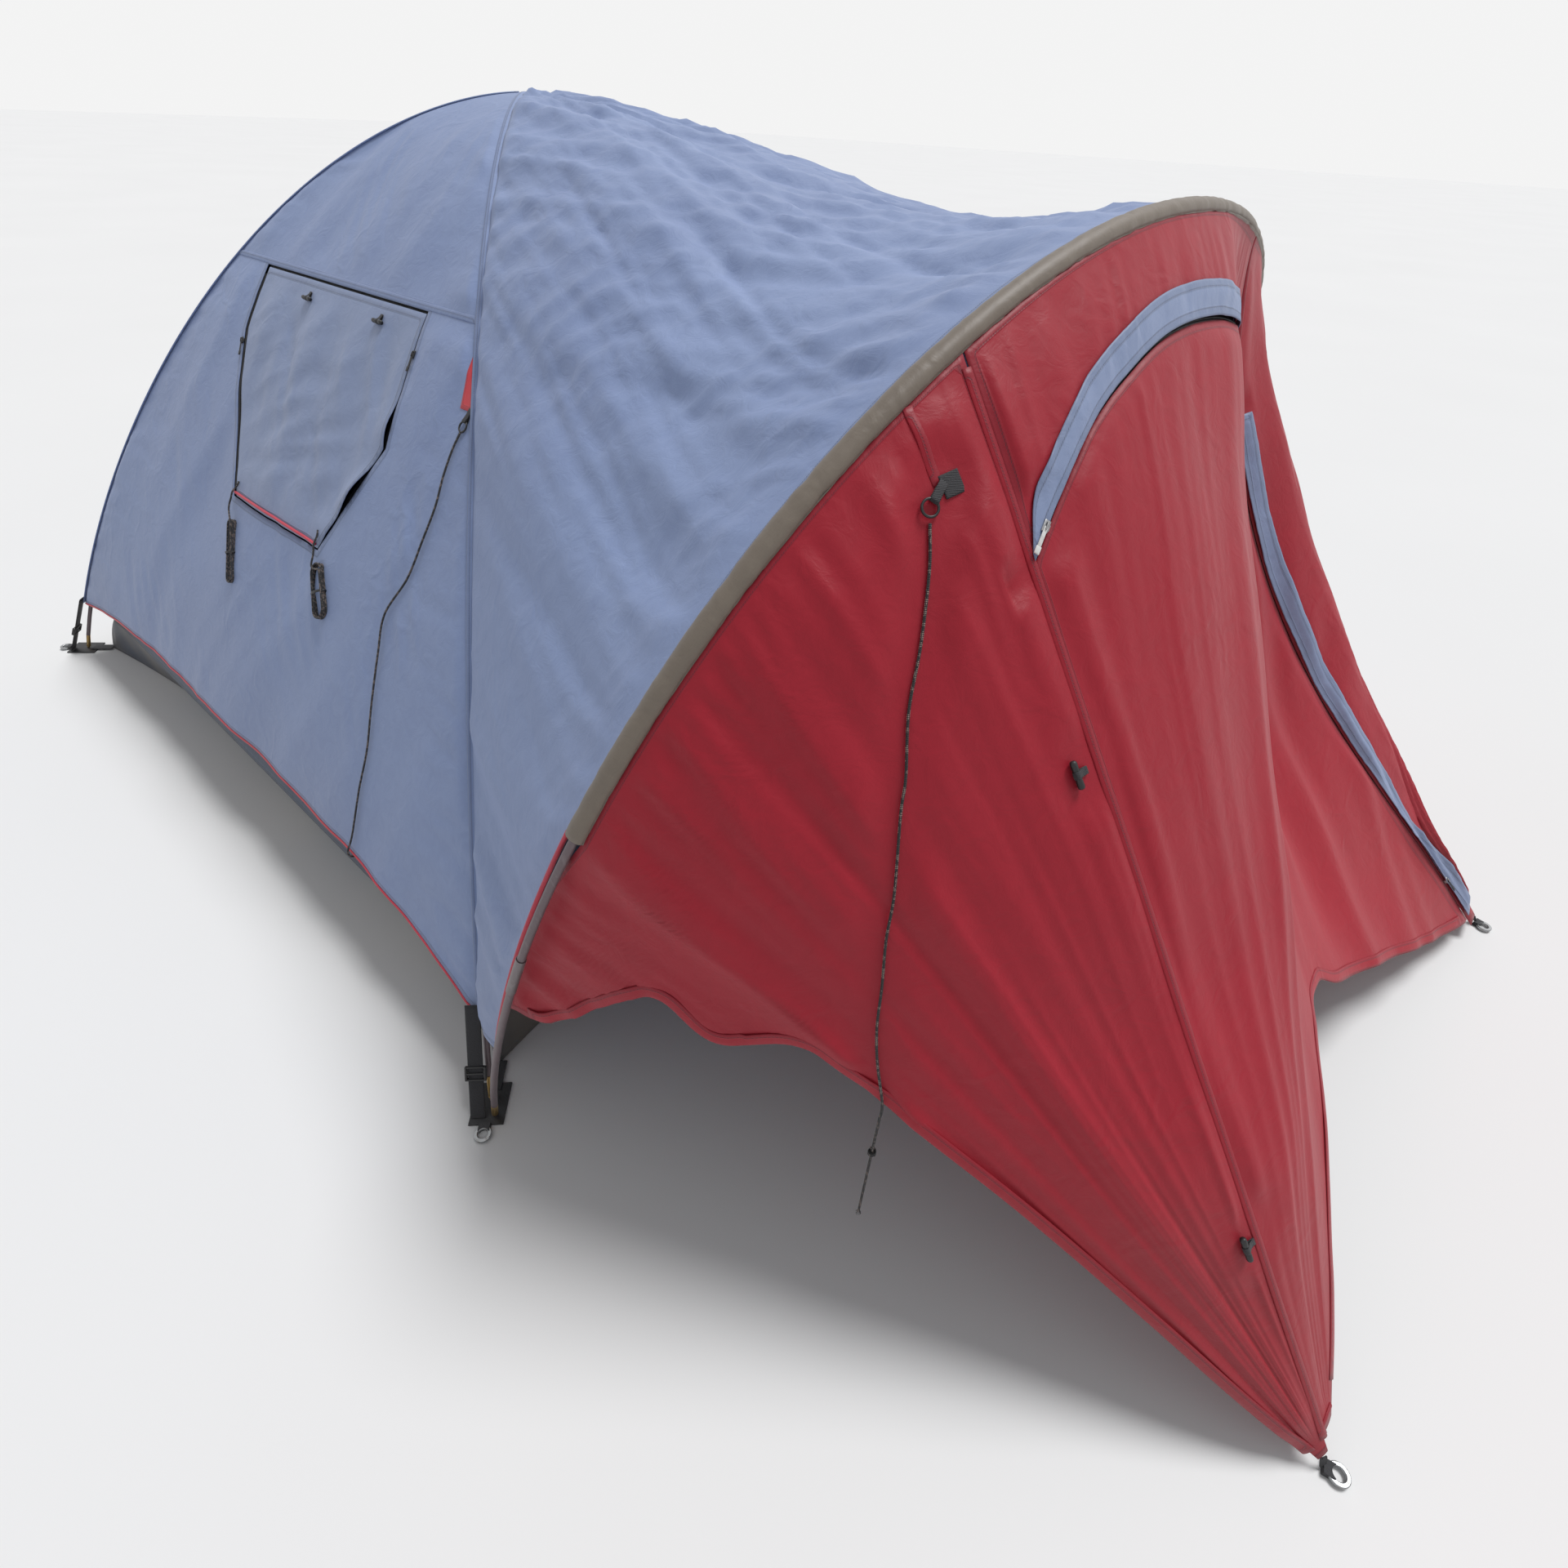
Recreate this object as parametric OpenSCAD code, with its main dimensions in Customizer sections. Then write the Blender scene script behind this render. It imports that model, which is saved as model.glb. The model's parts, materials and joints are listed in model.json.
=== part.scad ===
// Three-pole camping tent: two crossed dome poles carry the cabin, and a forward-leaning
// hoop pole in a sleeve carries a tapered vestibule. +X points to the vestibule, -Y is the
// window side, +Z is up, and the origin is on the ground under the crossing of the poles.

/* [Dome] */
// Distance between the front and rear pole tips
dome_len = 2100; // [1700:10:2600]
// Distance between the left and right pole tips
dome_wid = 2100; // [1700:10:2600]
// Height of the fly over the crossing of the poles
dome_h = 1300; // [1050:10:1600]
// Roundness of the dome in plan, 2 is an ellipse
dome_p = 1.73; // [1.4:0.01:2.4]
// Roundness of the dome towards its top, 2 is an ellipse
dome_q = 1.13; // [1:0.01:2]

/* [Vestibule] */
// Height of the hoop pole, measured along its own lean
hoop_h = 1260; // [1000:10:1500]
// Lean of the hoop towards the front
hoop_lean = 15; // [5:1:25]
// Squareness of the hoop's shoulders
hoop_p = 2.2; // [1.8:0.05:2.6]
// Distance from the front pole tips to the vestibule pegs
vestibule_depth = 1190; // [900:10:1500]
// Distance between the two vestibule pegs
vestibule_gap = 1220; // [900:10:1500]
// Depth by which the roof dips between dome and hoop
roof_sag = 70; // [30:5:120]
// Depth by which the far vestibule wall curves in
wall_sag = 85; // [40:5:110]
// Depth by which the front of the vestibule hangs in
front_sag = 110; // [50:5:140]

/* [Poles] */
// Diameter of the dome poles
dome_pole_d = 9.5; // [8:0.5:12]
// Diameter of the hoop pole
hoop_pole_d = 11; // [8:0.5:13]
// Wall of the tubular pole sections
pole_wall = 1.8; // [1.2:0.1:2.2]
// Sections in each pole
pole_sections = 9; // [7:1:9]
// Length of a ferrule
ferrule_len = 70; // [40:5:90]
// Wall of a ferrule
ferrule_wall = 1; // [0.8:0.1:1.5]

/* [Fabric] */
// Thickness of the fly and inner panels
cloth = 2; // [1:0.5:3]
// Width of the hoop sleeve across the fabric
sleeve_w = 27; // [22:1:32]
// Height of the fly's hem at mid side
hem_mid = 210; // [120:10:260]
// Height of the fly's hem at the corners
hem_corner = 150; // [100:10:200]
// Distance from the fly in to the inner tent
inner_gap = 45; // [35:5:70]
// Height of the groundsheet's raised edge
tub_h = 120; // [80:10:160]
// Inward curve of the groundsheet's sides
floor_bow = 95; // [20:5:120]

/* [Window] */
// Height of the window's top seam
window_top = 1000; // [900:10:1020]
// Height of the window's lower edge
window_sill = 622; // [560:10:700]
// Half width of the window at its top seam
window_half = 320; // [240:10:320]

/* [Doors] */
// Half width of the inner door at its sill
inner_door_half = 520; // [400:10:600]
// Height of the inner door's top
inner_door_top = 860; // [700:10:900]
// Width of the storm flap over the door zip
flap_w = 44; // [30:2:60]

/* [Fittings] */
// Width of the corner webbing
web_w = 25; // [20:1:30]
// Bore radius of the peg rings
ring_bore_r = 8; // [5:0.5:10]
// Half the thickness of the peg rings' stock
ring_wall = 3; // [2:0.5:4]
// Diameter of the guy cords
cord_d = 3.5; // [2.5:0.5:4]
// Length of a toggle
toggle_len = 30; // [20:1:40]
// Diameter of a toggle
toggle_d = 8; // [6:0.5:10]

/* [Hidden] */

fit = 0.4;                                   // gap between pieces that are sewn or seated together
half_l = dome_len / 2;
half_w = dome_wid / 2;
rows = 14;                                   // steps of a panel from hem to top
cols = 8;                                    // steps of a panel across
pole_top = dome_h - cloth - 6 - dome_pole_d / 2;
pole_h = [pole_top, pole_top - dome_pole_d - 0.6];
// the dome poles' inset from the fly, both sides together
pole_in = 2 * (cloth + dome_pole_d / 2 + ferrule_wall + 3);
hoop_x = half_l + 16;                        // the hoop's feet stand just ahead of the dome's
hoop_q = 2.25;
hoop_n = [cos(hoop_lean), 0, -sin(hoop_lean)];
tip_x = half_l + vestibule_depth;
tip_y = vestibule_gap / 2;
hinge_t = 65;                                // hoop angle of the door's hinge seam
fold_t = 95;                                 // hoop angle of the near front edge
far_t = 110;                                 // hoop angle of the far front edge

function unit(v) = v / norm(v);
function mix(a, b, k) = a * (1 - k) + b * k;
function clamp01(x) = min(1, max(0, x));

// ---- curves -------------------------------------------------------------------------------

// share of the half width that the dome keeps at height z, for a dome of height h
function keep(z, h) = pow(max(0, 1 - pow(max(0, z) / h, dome_q)), 1 / dome_p);
// the dome's edge over a pole, t = 0 at the near tip, 90 at the top, 180 at the far tip
function edge_k(t) = sign(cos(t)) * pow(abs(cos(t)), 2 / dome_p);
function edge_z(t, h) = h * pow(sin(t), 2 / dome_q);
function edge_t(z, h) = asin(pow(z / h, dome_q / 2));
function dome_pole(t, dir, i) =
    [dir * (half_l - pole_in / 2) * edge_k(t), -(half_w - pole_in / 2) * edge_k(t), edge_z(t, pole_h[i])];

// the hoop, t = 0 at the near foot, 90 at the top, 180 at the far foot
function hoop(t, out = 0) =
    let (s = pow(sin(t), 2 / hoop_q) * (hoop_h + out))
    [hoop_x + s * sin(hoop_lean),
     -(half_w + out) * sign(cos(t)) * pow(abs(cos(t)), 2 / hoop_p),
     s * cos(hoop_lean)];

// angles at equal steps along a curve f of t from 0 to 180
function arc_table(f, n = 90) =
    [for (i = 0, s = 0; i <= n; i = i + 1, s = s + norm(f(180 * i / n) - f(180 * (i - 1) / n)))
        [s, 180 * i / n]];
function arc_t(table, s) = lookup(s, table);

// ---- solids from curves and grids -----------------------------------------------------------

// a closed tube along points P: outer radii [a, b], and a bore if inner radii are given.
// side is the direction of the first radius, which is kept square to the path.
module tube(P, outer, sides = 8, side = [0, 0, 1], inner = undef) {
    n = len(P);
    function tangent(i) = unit(P[min(i + 1, n - 1)] - P[max(i - 1, 0)]);
    function ring(i, r) =
        let (t = tangent(i), a = unit(side - t * (side * t)), b = cross(t, a))
        [for (k = [0:sides - 1]) P[i] + a * r[0] * cos(k * 360 / sides) + b * r[1] * sin(k * 360 / sides)];
    function wall(first, flip) = [for (i = [0:n - 2]) for (k = [0:sides - 1])
        let (a = first + i * sides + k, b = first + i * sides + (k + 1) % sides,
             c = b + sides, d = a + sides)
        each flip ? [[a, b, c], [a, c, d]] : [[a, c, b], [a, d, c]]];
    last = (n - 1) * sides;
    if (is_undef(inner))
        polyhedron(
            [for (i = [0:n - 1]) each ring(i, outer)],
            concat(wall(0, false), [[for (k = [0:sides - 1]) k]],
                [[for (k = [sides - 1:-1:0]) last + k]]));
    else {
        m = n * sides;
        polyhedron(
            concat([for (i = [0:n - 1]) each ring(i, outer)], [for (i = [0:n - 1]) each ring(i, inner)]),
            concat(wall(0, false), wall(m, true),
                [for (k = [0:sides - 1]) let (j = (k + 1) % sides) each
                    [[k, j, m + j], [k, m + j, m + k],
                     [last + k, last + m + j, last + j], [last + k, last + m + k, last + m + j]]]));
    }
}

// a cloth panel: P[i][j] is a grid on its face, seen from outside with i up and j to the right.
// Its faces lie lift and lift - thick outside the grid.
module skin(P, thick = cloth, lift = 0) {
    n = len(P);
    m = len(P[0]);
    function face_n(i, j) = unit(cross(
        P[i][min(j + 1, m - 1)] - P[i][max(j - 1, 0)], P[min(i + 1, n - 1)][j] - P[max(i - 1, 0)][j]));
    outer = [for (i = [0:n - 1]) for (j = [0:m - 1]) P[i][j] + face_n(i, j) * lift];
    inner = [for (i = [0:n - 1]) for (j = [0:m - 1]) P[i][j] + face_n(i, j) * (lift - thick)];
    b = n * m;
    rim = concat([for (j = [0:m - 2]) j], [for (i = [0:n - 2]) i * m + m - 1],
        [for (j = [m - 1:-1:1]) (n - 1) * m + j], [for (i = [n - 1:-1:1]) i * m]);
    polyhedron(concat(outer, inner), concat(
        [for (i = [0:n - 2]) for (j = [0:m - 2]) let (a = i * m + j)
            each [[a, a + m, a + m + 1], [a, a + m + 1, a + 1]]],
        [for (i = [0:n - 2]) for (j = [0:m - 2]) let (a = b + i * m + j)
            each [[a, a + m + 1, a + m], [a, a + 1, a + m + 1]]],
        [for (k = [0:len(rim) - 1]) let (p = rim[k], q = rim[(k + 1) % len(rim)])
            each [[p, q, q + b], [p, q + b, p + b]]]));
}

// places children at p, with Z along z and X as near to x as it can be
module place(p, z, x = [1, 0, 0]) {
    c = unit(z);
    a = unit(x - c * (x * c));
    b = cross(c, a);
    multmatrix([[a[0], b[0], c[0], p[0]], [a[1], b[1], c[1], p[1]], [a[2], b[2], c[2], p[2]], [0, 0, 0, 1]])
        children();
}
// a round rod from p to q
module rod(p, q, r) place(p, q - p, [0.6, 0.8, 0]) cylinder(r = r, h = norm(q - p), $fn = 24);
// a flat strap from p to q, its width along side and its thickness to both sides of the line
module strap(p, q, w, thick, side) place(p, q - p, side) translate([-w / 2, -thick / 2, 0])
    cube([w, thick, norm(q - p)]);

// ---- surfaces -------------------------------------------------------------------------------

// a quarter of a dome that faces -Y: height h, half length l, half width w, at height z and share s across
function dome_face(s, z, h, l, w) = [s * keep(z, h) * l, -keep(z, h) * w, z];
// turns a point of the face that looks to -Y to the face that looks to the given side
function turned(p, side) = side == 0 ? p : side == 1 ? [-p[1], p[0], p[2]]
    : side == 2 ? [-p[0], -p[1], p[2]] : [p[1], -p[0], p[2]];

t_hem = edge_t(hem_corner, dome_h);
t_top = 89.4;
function row_t(i) = mix(t_hem, t_top, i / rows);
function fly_z(s, i) = edge_z(row_t(i), dome_h)
    + (hem_mid - hem_corner) * (1 - pow(abs(s), 4)) * pow(1 - i / rows, 2);
// side 0 looks to -Y, 1 to +X, 2 to +Y and 3 to -X
function fly_grid(side, wide = 1) =
    let (even = side % 2 == 0, l = even ? half_l : half_w, w = even ? half_w : half_l)
    [for (i = [0:rows]) [for (j = [-cols / 2:cols / 2])
        let (s = wide * 2 * j / cols) turned(dome_face(s, fly_z(s, i), dome_h, l, w), side)]];

// the fly's outer face on the window side, from place x and height z, and the way that it faces
function near_face(x, z) =
    let (s = min(1, abs(x) / (keep(z, dome_h) * half_l)))
    [x, lookup(z, [for (i = [0:rows]) [fly_z(s, i), -half_w * keep(fly_z(s, i), dome_h)]]), z];
function near_slope(x, z) = unit(near_face(x, z + 3) - near_face(x, z - 3));
function near_out(x, z) = cross([1, 0, 0], near_slope(x, z));

inner_l = half_l - inner_gap;
inner_w = half_w - inner_gap;
inner_h = dome_h - inner_gap;
function inner_grid(side, wide = 1) =
    let (even = side % 2 == 0, l = even ? inner_l : inner_w, w = even ? inner_w : inner_l,
         t0 = edge_t(tub_h + 3 * fit, inner_h))
    [for (i = [0:rows]) [for (j = [-cols / 2:cols / 2])
        turned(dome_face(wide * 2 * j / cols, edge_z(mix(t0, 89, i / rows), inner_h), inner_h, l, w), side)]];

// The roof runs from the dome's front edge (v = 0) to the back of the sleeve (v = 1).
// Below the sleeve its front edge keeps inside and behind the bare pole.
sleeve_t = 30;                               // hoop angle of the sleeve's ends
hoop_t0 = 7;                                 // hoop angle of the fly's front corner
bare_in = 18;                                // how far inside the bare pole the cloth passes
function bare(t) = clamp01((sleeve_t - min(t, 180 - t)) / 5);
function roof_edge(t) = hoop(t, -bare_in * bare(t)) - hoop_n * (sleeve_w / 2 - 2 + 12 * bare(t));
function wall_edge(t) = hoop(t, -bare_in * bare(t))
    + hoop_n * (mix(sleeve_w / 2 - 2, -sleeve_w / 2 - 3.4, bare(t)));
function roof(k, v) =                        // k runs from 0 at the near hem over 1 at the ridge to 2
    let (far = k > 1, m = far ? 2 - k : k,
         a = dome_face(1, edge_z(mix(t_hem, t_top, m), dome_h), dome_h, half_l, half_w),
         e = roof_edge(mix(hoop_t0, 90, m)),
         p = mix(a, e, v) - [0, 0, roof_sag * sin(180 * v * v) * sin(90 * m)])
    far ? [p[0], -p[1], p[2]] : p;

// The vestibule runs from the front of the sleeve (u = 0) to the peg tips (u = 1).
function tip(t) = [tip_x, mix(-tip_y, tip_y, clamp01((t - fold_t) / (far_t - fold_t))), 0];
front_in = unit([-hoop_h, 0, -(tip_x - hoop_x)]);
far_in = unit([-0.55, -0.75, -0.35]);
function vest(t, u) =
    let (s = clamp01((t - fold_t) / (far_t - fold_t)), bulge = sin(180 * pow(u, 0.8)))
    mix(wall_edge(t), tip(t), u) + bulge * (front_in * front_sag * sin(180 * s) + far_in * wall_sag * s);
function front_t(s) = mix(fold_t, far_t, s);

// hem of the vestibule's side walls: the hoop angle that it has reached at u
hem_angles = [[0, 13], [0.06, 15], [0.14, 23], [0.22, 23], [0.3, 29], [1, 31]];
function hem_t(u) = lookup(u, hem_angles);
// the door's arch: u of the storm flap's lower edge at hoop angle t
arch = [[hinge_t, 0.158], [68, 0.138], [73, 0.108], [77, 0.095], [84, 0.083], [93, 0.09], [100, 0.115],
    [105.5, 0.15]];
function arch_u(t) = lookup(t, arch);
// the side zip runs down the front to the far peg: its place across the front at u
zip_line = [[0.15, 0.7], [0.2, 0.75], [0.27, 0.78], [0.38, 0.815], [0.46, 0.84], [0.58, 0.878], [0.71, 0.92],
    [0.83, 0.95], [0.97, 0.965]];
function zip_s(u) = lookup(u, zip_line);
arch_end = front_t(zip_s(0));
// the front's raised hem: u at place s across the front
front_hem = [[0, 0.955], [0.07, 0.87], [0.15, 0.78], [0.22, 0.735], [0.33, 0.734], [0.42, 0.772], [0.51, 0.802],
    [0.66, 0.852], [0.83, 0.916], [0.95, 0.957]];
function front_hem_u(s) = lookup(s, front_hem);
u_end = 0.972;                               // where the cloth meets the peg tabs

// length of one unit of u near hoop angle t
function u_len(t) = norm(tip(t) - wall_edge(t));

// ---- poles ----------------------------------------------------------------------------------

curve_1 = function (t) dome_pole(t, 1, 0);
curve_2 = function (t) dome_pole(t, -1, 1);
curve_3 = function (t) hoop(t);
tip_len = 40;                                // the metal end of a pole, above its pin
pin_len = 9;                                 // the pin that stands in a corner plate
joint_gap = 0.4;                             // between the ends of two sections

// the circle through a, m and b: its centre and its axis
function arc_axis(a, m, b) = unit(cross(m - a, b - a));
function arc_mid(a, m, b) = let (n = cross(m - a, b - a))
    a + (cross(b - a, n) * ((m - a) * (m - a)) + cross(n, m - a) * ((b - a) * (b - a))) / (2 * n * n);
function arc_angle(a, m, b) = 2 * asin(norm(b - a) / (2 * norm(a - arc_mid(a, m, b))));
// a round rod along that circle, from share k0 to share k1 of the way from a to b
module arc_rod(q, k0, k1, r, bore = 0) {
    c = arc_mid(q[0], q[1], q[2]);
    all = arc_angle(q[0], q[1], q[2]);
    place(c, arc_axis(q[0], q[1], q[2]), q[0] - c) rotate([0, 0, k0 * all])
        rotate_extrude(angle = (k1 - k0) * all, $fn = 180) translate([norm(q[0] - c), 0]) difference() {
            circle(r = r, $fn = 24);
            if (bore > 0) circle(r = bore, $fn = 24);
        }
}

// start, middle and end of each section of a pole
pole_end = tip_len + pin_len;
function pole_step(table) = (table[len(table) - 1][0] - 2 * pole_end) / pole_sections;
function sections(curve) =
    let (table = arc_table(curve), step = pole_step(table))
    [for (i = [0:pole_sections - 1]) [for (k = [0, 0.5, 1]) curve(arc_t(table, pole_end + (i + k) * step))]];

module pole(curve, d) {
    gap = joint_gap / pole_step(arc_table(curve));
    for (q = sections(curve)) arc_rod(q, gap, 1 - gap, d / 2, d / 2 - pole_wall);
}

// the point at share k of a section, moved towards the inside of its bend
function on_section(q, k, inside = 0) =
    let (c = arc_mid(q[0], q[1], q[2]), a = arc_angle(q[0], q[1], q[2]) * k, p = q[0] - c)
    c + (p * cos(a) + cross(arc_axis(q[0], q[1], q[2]), p) * sin(a)) * (1 - inside / norm(p));

// a ferrule follows the two sections that it joins
module ferrules(curve, d) {
    half = ferrule_len / 2 / pole_step(arc_table(curve));
    bore = d / 2 + fit;
    q = sections(curve);
    for (i = [1:pole_sections - 1])
        arc_rod([on_section(q[i - 1], 1 - half), q[i][0], on_section(q[i], half)], 0, 1,
            bore + ferrule_wall, bore);
}

// the stretched cord inside a pole lies to the inside of the bend
shock_r = 1.5;
shock_steps = 7;                             // per section
module shock_cord(curve, d, side) tube(
    [for (q = sections(curve)) for (k = [0:shock_steps - 1])
        on_section(q, (k + 0.5) / shock_steps, d / 2 - pole_wall - shock_r - 0.9)],
    [shock_r, shock_r], 4, side);

side_1 = unit([half_w, half_l, 0]);
side_2 = unit([half_w, -half_l, 0]);

module dome_pole_1() color("dimgray") pole(curve_1, dome_pole_d);
module dome_pole_1_ferrules() color("silver") ferrules(curve_1, dome_pole_d);
module dome_pole_2() color("dimgray") pole(curve_2, dome_pole_d);
module dome_pole_2_ferrules() color("silver") ferrules(curve_2, dome_pole_d);
module hoop_pole() color("dimgray") pole(curve_3, hoop_pole_d);
module hoop_pole_ferrules() color("silver") ferrules(curve_3, hoop_pole_d);
module shock_cords() color("white") {
    shock_cord(curve_1, dome_pole_d, side_1);
    shock_cord(curve_2, dome_pole_d, side_2);
    shock_cord(curve_3, hoop_pole_d, hoop_n);
}

// a metal end: a plug as thick as its pole and a thinner pin below it
module pole_tip(curve, d, far) {
    table = arc_table(curve);
    all = table[len(table) - 1][0];
    function at(s) = curve(arc_t(table, far ? all - s : s));
    foot = at(0);
    p = at(pin_len);
    q = at(pin_len + tip_len - joint_gap);
    rod(p, q, d / 2);
    translate([foot[0], foot[1], fit]) cylinder(d = pin_d, h = p[2] + 3 - fit, $fn = 24);
}
pin_d = 5;
module pole_tips() color("silver") for (far = [false, true]) {
    pole_tip(curve_1, dome_pole_d, far);
    pole_tip(curve_2, dome_pole_d, far);
    pole_tip(curve_3, hoop_pole_d, far);
}

// ---- fly ------------------------------------------------------------------------------------

// the window's outline, given by height and place across
window_mid = 45;                             // how far the sill's centre lies to the front
window_sill_half = 190;
function window_outline(grow = 0) = [
    [-window_half - grow, window_top + grow], [-window_half + 15 - grow, window_top - 110],
    [window_mid - window_sill_half - grow, window_sill - grow],
    [window_mid + window_sill_half + grow, window_sill - grow],
    [window_half + 40 + grow, window_top - 190], [window_half + grow, window_top + grow]];
module window_prism(grow = 0) rotate([90, 0, 0]) linear_extrude(half_w) polygon(window_outline(grow));

module fly_side_panel_near() color("lightsteelblue") difference() {
    skin(fly_grid(0));
    window_prism();
}
module fly_side_panel_far() color("lightsteelblue") skin(fly_grid(2));
// trims a panel where it meets the two side panels
module between_sides() difference() {
    children();
    for (side = [0, 2]) skin(fly_grid(side, 1.03), cloth + 3 + 3 * fit, 3 + 1.5 * fit);
}
module fly_rear_panel() color("lightsteelblue") between_sides() translate([-0.15, 0, 0])
    skin(fly_grid(3));
module fly_roof_panel() color("lightsteelblue") beside_sleeve() translate([0.9, 0, 0])
    skin([for (i = [0:2 * rows]) [for (j = [0:cols]) roof(i / rows, j / cols)]]);

// red tape that binds the hems of the two sides and the rear
tape_r = 2.5;
module fly_hem_piping() color("crimson") for (side = [0, 2, 3]) let (g = fly_grid(side))
    translate([0, 0, -tape_r - 2.5 * fit]) tube(g[0], [tape_r, tape_r], 6, [0, 0, 1]);

sleeve_steps = 6;                            // per section of the pole
sleeve_bore = hoop_pole_d / 2 + fit + ferrule_wall + 1.2;
sleeve_path = concat([hoop(sleeve_t)],
    [for (q = sections(curve_3)) for (k = [0:sleeve_steps - 1])
        let (p = on_section(q, (k + 0.5) / sleeve_steps)) if (p[2] > hoop(sleeve_t)[2] + 20) p],
    [hoop(180 - sleeve_t)]);
module hoop_sleeve() color("tan")
    tube(sleeve_path, [sleeve_w / 2, sleeve_bore + cloth], 8, hoop_n, [sleeve_w / 2 - cloth, sleeve_bore]);
// trims the panels that are sewn to the sleeve
module beside_sleeve() difference() {
    children();
    tube(sleeve_path, [sleeve_w / 2 + fit, sleeve_bore + cloth + fit], 8, hoop_n);
}

// ---- vestibule ------------------------------------------------------------------------------

module vestibule_wall_near() color("firebrick") beside_sleeve()
    skin([for (i = [0:rows]) [for (j = [0:cols]) let (u = u_end * j / cols)
        vest(mix(hem_t(u), hinge_t - 0.03 / (1.02 - u), i / rows), u)]]);
far_rows = [for (i = [0:rows]) [for (j = [0:cols]) let (u = u_end * j / cols)
    vest(mix(front_t(zip_s(u)), 180 - hem_t(u), i / rows), u)]];
flap_band = 36;                              // the wall's first row is a narrow one, under the side flap
far_grid = concat([far_rows[0]], [[for (j = [0:cols]) let (a = far_rows[0][j], b = far_rows[1][j])
    a + unit(b - a) * min(flap_band, norm(b - a) * 0.7)]], [for (i = [1:rows]) far_rows[i]]);
module vestibule_wall_far() color("firebrick") beside_sleeve() skin(far_grid);
// a point beside the side zip at u, w to the far side of the wall's edge
function on_far(u, w) =
    let (c = u * cols / u_end, j = floor(c), k = c - j,
         a = mix(far_grid[0][j], far_grid[0][j + 1], k), b = mix(far_grid[1][j], far_grid[1][j + 1], k))
    a + unit(b - a) * w;
// The door's columns run from the hinge seam over the fold to the zip. The pieces over and
// behind its arch share them, so that their facets lie parallel.
near_cols = 8;
front_cols = 6;
door_gap = 3;                                // between the door and the far wall
function front_w(u) = norm(vest(far_t, u) - vest(fold_t, u));
function door_s(u) = zip_s(u) - door_gap / front_w(u);
function front_share(c) = max(0, (c - near_cols) / front_cols);
function door_t(c) = c > near_cols ? front_t(door_s(0.15) * front_share(c))
    : mix(hinge_t + 0.12, fold_t, c / near_cols);
function brow_t(c) = c == near_cols + front_cols ? arch_end - 0.1 : door_t(c);
// the cloth between the sleeve and the arch of the door
module vestibule_brow() color("firebrick") beside_sleeve()
    skin([for (c = [0:near_cols + front_cols]) let (t = brow_t(c), u = arch_u(t))
        [vest(t, 0), for (back = [flap_w + 2, flap_w / 2 + 2, 8]) vest(t, u - back / u_len(t))]]);

flap_thick = 1.6;
module storm_flap_arch() color("slategray")
    skin([for (c = [0:near_cols + front_cols]) [for (j = [0:2])
        let (t = brow_t(c), u = arch_u(t) - 2 / u_len(t))
        vest(t, u - flap_w / u_len(t) * (1 - j / 2))]], flap_thick, flap_thick + fit);
// the side flap runs down beside the side zip
module storm_flap_side() color("slategray")
    skin([for (w = [1, 17, 34])
        [for (u = concat([0.16, 0.2], [for (j = [2:cols - 1]) u_end * j / cols], [0.95])) on_far(u, w)]],
        flap_thick, flap_thick + fit + 1);

// the zip's tape lies inside, behind the gap between the door and its surround
zip_w = 20;
module door_zip() color("black") {
    skin([for (c = [0:near_cols + front_cols]) [for (j = [0:2])
        let (t = door_t(c), u = arch_u(t) - 4 / u_len(t)) vest(t, u + zip_w / u_len(t) * (j / 2 - 0.5))]],
        1, -cloth - fit - 0.4);
    skin([for (i = [0:2]) [for (u = concat([0.18], [for (j = [2:cols - 1]) u_end * j / cols], [0.93]))
        on_far(u, zip_w * (i / 2 - 0.55))]], 1, -cloth - fit - 1.5);
}

// the door: its near part lies in the near wall's plane, and its front part crosses to the zip
function door_point(c, j) =
    let (front = c > near_cols, share = front_share(c), edge_t = door_t(c),
         u = mix(arch_u(edge_t) + 2 / u_len(edge_t), front ? front_hem_u(share * door_s(0.95)) : 0.955, j / 12))
    vest(front ? front_t(door_s(u) * share) : edge_t, u);
module vestibule_door() color("firebrick")
    skin([for (c = [0:near_cols + front_cols]) [for (j = [0:12]) door_point(c, j)]]);

// outward normal of the vestibule's surface
function vest_n(t, u) =
    unit(cross(vest(t, u + 0.004) - vest(t, u - 0.004), vest(t + 0.4, u) - vest(t - 0.4, u)));

// a slider: its body lies on the cloth to +Y of the zip, which runs along X, and its stem goes
// through the zip. Its pull hangs to +X or, with down = -1, to -X.
slider_len = 14;
pull_len = 26;
slider_lift = 0.8;
stem = 1.5;
module slider(down = 1, lift = slider_lift) {
    translate([-slider_len / 2, 0.6, lift]) cube([slider_len, 8, 3]);
    translate([-slider_len / 4, -0.6, -cloth]) cube([slider_len / 2, stem, cloth + lift + 1]);
    translate([down > 0 ? slider_len / 2 - 2 : 2 - slider_len / 2 - pull_len, 2, lift + 0.8])
        cube([pull_len, 5, 1.2]);
}
upper_t = [hinge_t + 2, hinge_t + 3];        // the upper slider's place and a point on its way
lower_u = [0.88, 0.87];                      // the same for the lower slider
function upper_at(t) = vest(t, arch_u(t) + 0.6 / u_len(t));
module door_slider_upper() color("lightgray")
    place(upper_at(upper_t[0]), vest_n(upper_t[0], arch_u(upper_t[0])),
        upper_at(upper_t[1]) - upper_at(upper_t[0])) slider(-1, flap_thick + 3 * fit);
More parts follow.
